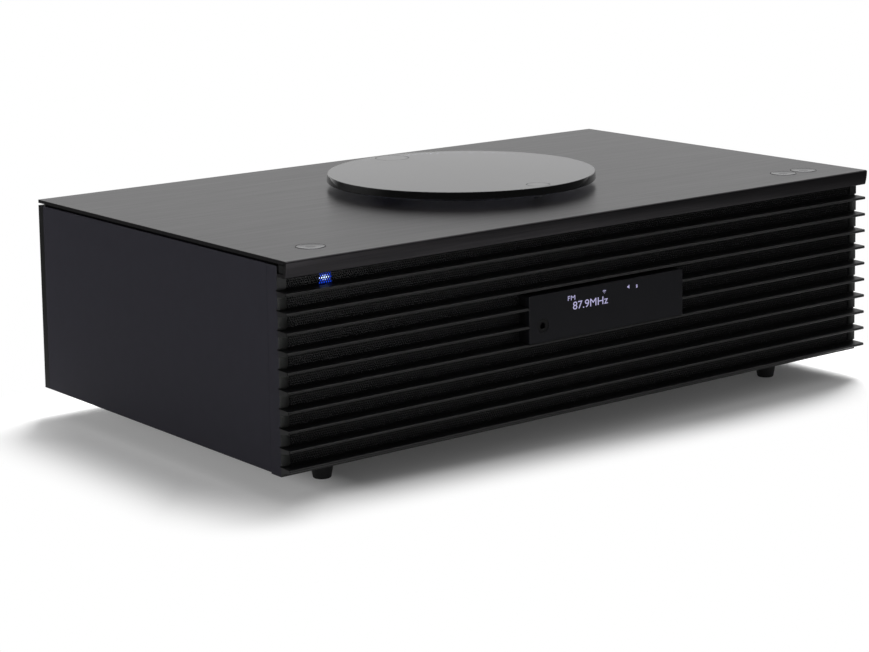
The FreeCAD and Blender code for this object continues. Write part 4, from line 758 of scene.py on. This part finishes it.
# Display: a smoked acrylic window pushed into the case over a glass panel. The read-out
# shows the station in pale letters, and the headphone socket sits at the left.
window = sheet_block("smoked_window", display_low, display_high, 0.25, 3)
jack_across, jack_up, jack_radius, jack_bore, jack_room = -47.7, 73.4, 4.0, 1.8, 4.1
socket_hole = put(turned("socket_hole", [(jack_room, -4), (jack_room, 4)], 64), jack_across,
                  display_low[1], jack_up, 90)
cut_from(window, socket_hole)
smooth(window, 30)
# Smoked acrylic: almost black with a soft shine.
smoked = grained("smoked_acrylic", "18181b", 0.3, 0.5, 0.001,
                 {"Specular IOR Level": 0.1, "IOR": 1.49})
coat(window, smoked, replaced=["display_window"])
# Display glass and its board, hidden behind the window.
panel_glass = grained("display_panel_glass", "0c0d10", 0.08, 0.8, 0.0005, {"IOR": 1.52})
# Glass fibre board under solder mask: dark green, low gloss, with a fine weave.
circuit_board = grained("solder_masked_board", "12301f", 0.38, 0.5, 0.01)
coat_nodes(panel_glass, "display_panel")
coat_nodes(circuit_board, "display_board")

readout_face, readout_power = -139.24, 0.8
# Lit read-out: pale violet-white cells.
readout_light = new_material("lit_readout_cells")
cell_place = add_node(readout_light, "TexCoord")
cell_noise = add_node(readout_light, "TexNoise", {"Vector": cell_place.outputs["Object"],
                                                  "Scale": 1500.0})
cell_tone = add_node(readout_light, "MixRGB", {
    "Fac": cell_noise.outputs["Fac"], "Color1": colour("b4aede"), "Color2": colour("d3cff4")})
cell_glow = add_node(readout_light, "Emission", {"Color": cell_tone.outputs[0],
                                                 "Strength": readout_power})
add_node(readout_light, "OutputMaterial", {"Surface": cell_glow.outputs[0]})


def lettering(name, words, left, right, low, high):
    """Read-out words as a thin mesh that fills a box on the window, in millimetres."""
    bpy.ops.object.select_all(action="DESELECT")
    bpy.ops.object.text_add()
    text = bpy.context.active_object
    text.name = name
    text.data.body = words
    text.data.extrude = 0.01
    bpy.ops.object.convert(target="MESH")
    text = bpy.context.active_object
    text.data.name = name
    reach = [max(v.co[k] for v in text.data.vertices) for k in (0, 1)]
    start = [min(v.co[k] for v in text.data.vertices) for k in (0, 1)]
    text.rotation_euler = (math.pi / 2, 0, 0)
    text.scale = ((right - left) * mm / (reach[0] - start[0]),
                  (high - low) * mm / (reach[1] - start[1]), mm)
    bpy.ops.object.transform_apply(location=True, rotation=True, scale=True)
    tidy_mesh(text)
    return put(text, left - start[0] * (right - left) / (reach[0] - start[0]),
               readout_face, low - start[1] * (high - low) / (reach[1] - start[1]))


band_words = lettering("band_letters", "FM", -28.9, -23.3, 85.3, 88.0)
station_words = lettering("station_letters", "87.9MHz", -25.0, 2.2, 79.5, 84.1)
coat(band_words, readout_light)
coat(station_words, readout_light)


def flat_sign(name, across, up, corners):
    """A small sign on the window: a filled outline about a place, in millimetres."""
    bpy.ops.object.select_all(action="DESELECT")
    bpy.ops.mesh.primitive_circle_add(vertices=len(corners), radius=mm, fill_type="NGON")
    sign = bpy.context.active_object
    sign.name = sign.data.name = name
    for vertex, (right, high) in zip(sign.data.vertices, corners):
        vertex.co = (right * mm, 0, high * mm)
    depth = sign.modifiers.new("depth", "SOLIDIFY")
    depth.thickness = 0.02 * mm
    apply_modifiers(sign)
    tidy_mesh(sign)
    return put(sign, across, readout_face, up)


def arc_strip(radius, thick, start, stop, steps=10):
    """Corners of a curved strip about the origin."""
    turns = [math.radians(start + (stop - start) * k / steps) for k in range(steps + 1)]
    outer = [((radius + thick) * math.cos(a), (radius + thick) * math.sin(a)) for a in turns]
    inner = [(radius * math.cos(a), radius * math.sin(a)) for a in reversed(turns)]
    return outer + inner


speaker_sign = flat_sign("speaker_sign", 18.7, 87.0, [
    (-1.1, -0.4), (-0.5, -0.4), (0.5, -1.2), (0.5, 1.2), (-0.5, 0.4), (-1.1, 0.4)])
pill_sign = flat_sign("pill_sign", 25.1, 86.9, arc_strip(0.0, 0.6, 0, 180)
                      + [(-0.6, -1.3), (0.6, -1.3)])
coat(speaker_sign, readout_light)
coat(pill_sign, readout_light)
wave_radii, wave_thick = (0.0, 0.9, 1.75), 0.36
for count, radius in enumerate(wave_radii):
    wave = flat_sign("aerial_wave_%d" % count, -0.6, 85.6, arc_strip(radius, wave_thick, 50, 130))
    coat(wave, readout_light)

# Headphone socket: a black plastic barrel with a plated contact ring inside.
barrel = turned("headphone_barrel", [
    (jack_bore, -13.0), (jack_bore, -0.5), (jack_bore + 0.5, -0.05), (jack_radius - 0.9, -0.05),
    (jack_radius - 0.5, 0.0), (jack_radius - 0.15, 0.0), (jack_radius, -0.15),
    (jack_radius, -14.0), (0.6, -14.0), (0.6, -13.0), (jack_bore, -13.0)], 64)
put(barrel, jack_across, display_low[1] + 0.02, jack_up, 90)
smooth(barrel)
# Moulded nylon: black with a soft shine.
black_nylon = grained("moulded_black_nylon", "0b0b0c", 0.5, 0.3, 0.004,
                      {"Specular IOR Level": 0.15})
coat(barrel, black_nylon, replaced=["headphone_jack"])

# Disc well: a dish of black plastic with a hub hole, a slot for the lens and four posts.
coat_nodes(spark_plastic, "disc_well")

# Disc drive: a pressed steel plate carries the spindle motor, a rod, a lead screw with its
# motor, and the sled with the lens.
# Bare zinc-plated steel: bright and slightly mottled.
zinc_steel = grained("zinc_plated_steel", "a3a5a8", 0.32, 0.8, 0.004, {"Metallic": 1.0})
# Ground steel rod: bright and smooth.
ground_steel = grained("ground_steel_rod", "c3c4c6", 0.16, 0.3, 0.001, {"Metallic": 1.0})
# Glass-filled plastic of the sled and the disc hub: dark grey and dry.
filled_plastic = grained("glass_filled_plastic", "232427", 0.55, 0.3, 0.01)
coat_nodes(zinc_steel, "drive_plate", "spindle_motor", "sled_motor")
coat_nodes(ground_steel, "guide_rod", "lead_screw")
coat_nodes(filled_plastic, "lens_sled")

# Lens: a small moulded lens in a black holder, coated so that it looks faintly violet.
lens_coating = grained("coated_moulded_lens", "35304a", 0.05, 0.3, 0.0003, {"IOR": 1.49})
coat_nodes(lens_coating, "pickup_lens")

# Disc hub: a turned seat with a tapered boss, which centres the disc.
hub = turned("disc_hub", [
    (12.5, 119.3), (14.3, 126.4), (14.5, 127.0), (14.5, 128.0), (14.3, 128.2), (12.0, 128.2),
    (11.8, 127.9), (8.2, 127.9), (8.0, 128.2), (7.4, 128.2), (7.4, 129.5), (7.2, 129.9),
    (5.4, 131.4), (5.0, 131.6), (2.0, 131.6), (1.8, 131.2), (0.3, 131.2)], 96)
put(hub, 0, disc_along, 0)
smooth(hub)
hub_shaft = put(turned("disc_hub_shaft", [(0.95, 113.3), (1.0, 113.4), (1.0, 119.5)], 32), 0,
                disc_along, 0)
smooth(hub_shaft)
coat(hub, filled_plastic, "spindle", ["spindle_hub"])
coat(hub_shaft, ground_steel, "spindle")

# Lid: a turned disc of clear acrylic, lightly smoked and polished, that floats over the
# plate. It swings about the pivot behind its middle.
lid_low, lid_high, lid_radius = 138.1, 143.0, 83.9
lid = turned("acrylic_lid", [
    (0.4, lid_low), (lid_radius - 0.6, lid_low), (lid_radius - 0.2, lid_low + 0.12),
    (lid_radius, lid_low + 0.5), (lid_radius - 0.55, lid_high - 0.45),
    (lid_radius - 0.75, lid_high - 0.12), (lid_radius - 1.05, lid_high), (0.4, lid_high)], 256)
put(lid, 0, disc_along, 0)
pin_along, pin_head, cap_radius, seat_gap = -80.0, 7.0, 10.6, 0.2
for radius, low, high, along in ((cap_radius + seat_gap, lid_low - 2, lid_high + 2, pivot_along),
                                 (pin_head + seat_gap, lid_high - 1.2, lid_high + 2, pin_along),
                                 (2.0, lid_low - 2, lid_high, pin_along)):
    seat = put(turned("seat_cutter", [(radius, low), (radius, high)], 96), 0, along, 0)
    cut_from(lid, seat)
smooth(lid, 30)
# Smoked acrylic, polished: dark by its tint, and as bright as the room where it mirrors. Its
# index is set a little under the real 1.49, so that its face comes near the photo's tone.
lid_index, lid_roughness = 1.45, (0.02, 0.05)
acrylic = new_material("polished_smoked_acrylic")
lid_place = add_node(acrylic, "TexCoord")
lid_wave = add_node(acrylic, "TexNoise", {"Vector": lid_place.outputs["Object"],
                                          "Scale": 25.0, "Detail": 1.0})
lid_rough = ramp(acrylic, lid_wave.outputs["Fac"], 0.0, 1.0, *lid_roughness)
lid_bump = add_node(acrylic, "Bump", {"Height": lid_wave.outputs["Fac"], "Strength": 0.1,
                                      "Distance": 0.02 * mm})
lid_shader = add_node(acrylic, "BsdfPrincipled", {
    "Base Color": colour("28282e"), "Roughness": lid_rough,
    "Normal": lid_bump.outputs[0], "IOR": lid_index, "Transmission Weight": 1.0})
add_node(acrylic, "OutputMaterial", {"Surface": lid_shader.outputs[0]})
coat(lid, acrylic, "lid", ["lid_disc"])

# Lid pivot: a turned black hub under the lid turns on the steel post, and a thin acrylic
# cap closes it. The locating pin in front has the same cap.
cap_outline = [(0.3, lid_high - 1.6), (cap_radius - 0.1, lid_high - 1.6),
               (cap_radius, lid_high - 1.5), (cap_radius, lid_high - 0.25),
               (cap_radius - 0.25, lid_high), (0.3, lid_high)]
cap = put(turned("pivot_cap_disc", cap_outline), 0, pivot_along, 0)
smooth(cap, 30)
# Cap: black acrylic, polished as the lid.
cap_acrylic = grained("polished_black_acrylic", "101012", 0.05, 0.8, 0.0003, {"IOR": 1.49})
coat(cap, cap_acrylic, "lid", ["pivot_cap"])
# Turned and anodised aluminium of the hub.
turned_aluminium = grained("turned_black_aluminium", "26262a", 0.3, 0.3, 0.004,
                           {"Metallic": 1.0})
coat_nodes(turned_aluminium, "lid_hub")
coat_nodes(ground_steel, "pivot_post")
pin_top = put(turned("locator_pin_head", [
    (0.3, lid_high - 1.15), (pin_head - 0.1, lid_high - 1.15), (pin_head, lid_high - 1.05),
    (pin_head, lid_high - 0.25), (pin_head - 0.25, lid_high), (0.3, lid_high)]), 0,
    pin_along, 0)
smooth(pin_top, 30)
pin_stem = put(turned("locator_pin_stem", [
    (1.4, 134.5), (2.6, 134.6), (2.6, 135.3), (1.8, 135.5), (1.8, lid_high - 1.2)], 48), 0,
    pin_along, 0)
smooth(pin_stem, 30)
coat(pin_top, cap_acrylic, "lid", ["locator_pin"])
coat(pin_stem, ground_steel, "lid")

# Buttons: turned aluminium caps with a dished top and a cut rim, anodised black, on
# plastic stems over small switches.
button_radius, rim_radius = 7.9, 7.4
cap_profile = [(0.3, 131.6), (7.7, 131.6), (button_radius, 131.8), (button_radius, 134.05),
               (7.82, 134.2), (7.7, 134.3), (7.5, 134.35), (7.2, 134.3), (6.5, 134.15),
               (5.0, 134.05), (3.0, 134.0), (0.3, 133.98)]
# Turned and anodised aluminium: dark grey, with a fine grain.
button_finish = grained("turned_anodised_aluminium", "303033", 0.28, 0.25, 0.004,
                        {"Metallic": 1.0})
# The cut rim: polished by the tool before it is anodised, a little lighter than the cap.
cut_rim = grained("polished_anodised_aluminium", "404043", 0.2, 0.2, 0.002,
                  {"Metallic": 1.0})
button_cap = turned("button_cap", cap_profile)
smooth(button_cap, 50)
stem = turned("button_stem", [(2.7, 127.3), (3.0, 127.5), (3.0, 131.7)], 48)
for name, across in button_places.items():
    piece = copy_of(button_cap, name + "_button_cap", across, button_along)
    coat(piece, button_finish, name + "_key", [name + "_button"])
    piece.data.materials.append(cut_rim)
    for face in piece.data.polygons:
        middle = face.center / mm
        if math.hypot(middle.x, middle.y) > rim_radius and middle.z > 134:
            face.material_index = 1
    under = copy_of(stem, name + "_button_stem", across, button_along)
    smooth(under)
    coat(under, black_nylon, name + "_key")
bpy.data.objects.remove(button_cap)
bpy.data.objects.remove(stem)
coat_nodes(circuit_board, "left_switch_board", "right_switch_board")

# Rear cover: a moulded panel of black plastic with vents, ports and sockets.
coat_nodes(spark_plastic, "rear_cover", "left_port_tube", "right_port_tube")
# Plated brass of the aerial thread: warm and bright.
plated_brass = grained("nickel_plated_brass", "c9bd9c", 0.22, 0.4, 0.002, {"Metallic": 1.0})
coat_nodes(plated_brass, "aerial_socket")
coat_nodes(black_nylon, "mains_inlet", "data_socket", "aux_jack")
coat_nodes(zinc_steel, "network_socket")

# Speaker boxes: closed mouldings behind the baffle, with the port tubes.
coat_nodes(spark_plastic, "left_speaker_box", "right_speaker_box", "bass_box")

# Drivers: pressed steel baskets with ferrite magnets, paper cones with rubber surrounds,
# and soft dome tweeters.
# Pulp paper, pressed and dyed: matt with short fibres.
cone_paper = grained("dyed_cone_paper", "1a1a1b", 0.9, 0.8, 0.05, {"Specular IOR Level": 0.2})
coat_nodes(cone_paper, "left_woofer_cone", "right_woofer_cone", "bass_cone")
coat_nodes(powder_coat, "left_woofer_basket", "right_woofer_basket", "bass_basket")
coat_nodes(black_nylon, "left_tweeter", "right_tweeter")

# Electronics: the main board with its finned heat sink behind the sockets, and the power
# board on stand-offs.
# Extruded aluminium, anodised black.
sink_finish = grained("anodised_heat_sink", "17171a", 0.45, 0.5, 0.01, {"Metallic": 1.0})
coat_nodes(circuit_board, "main_board", "power_board")
coat_nodes(sink_finish, "heat_sink")
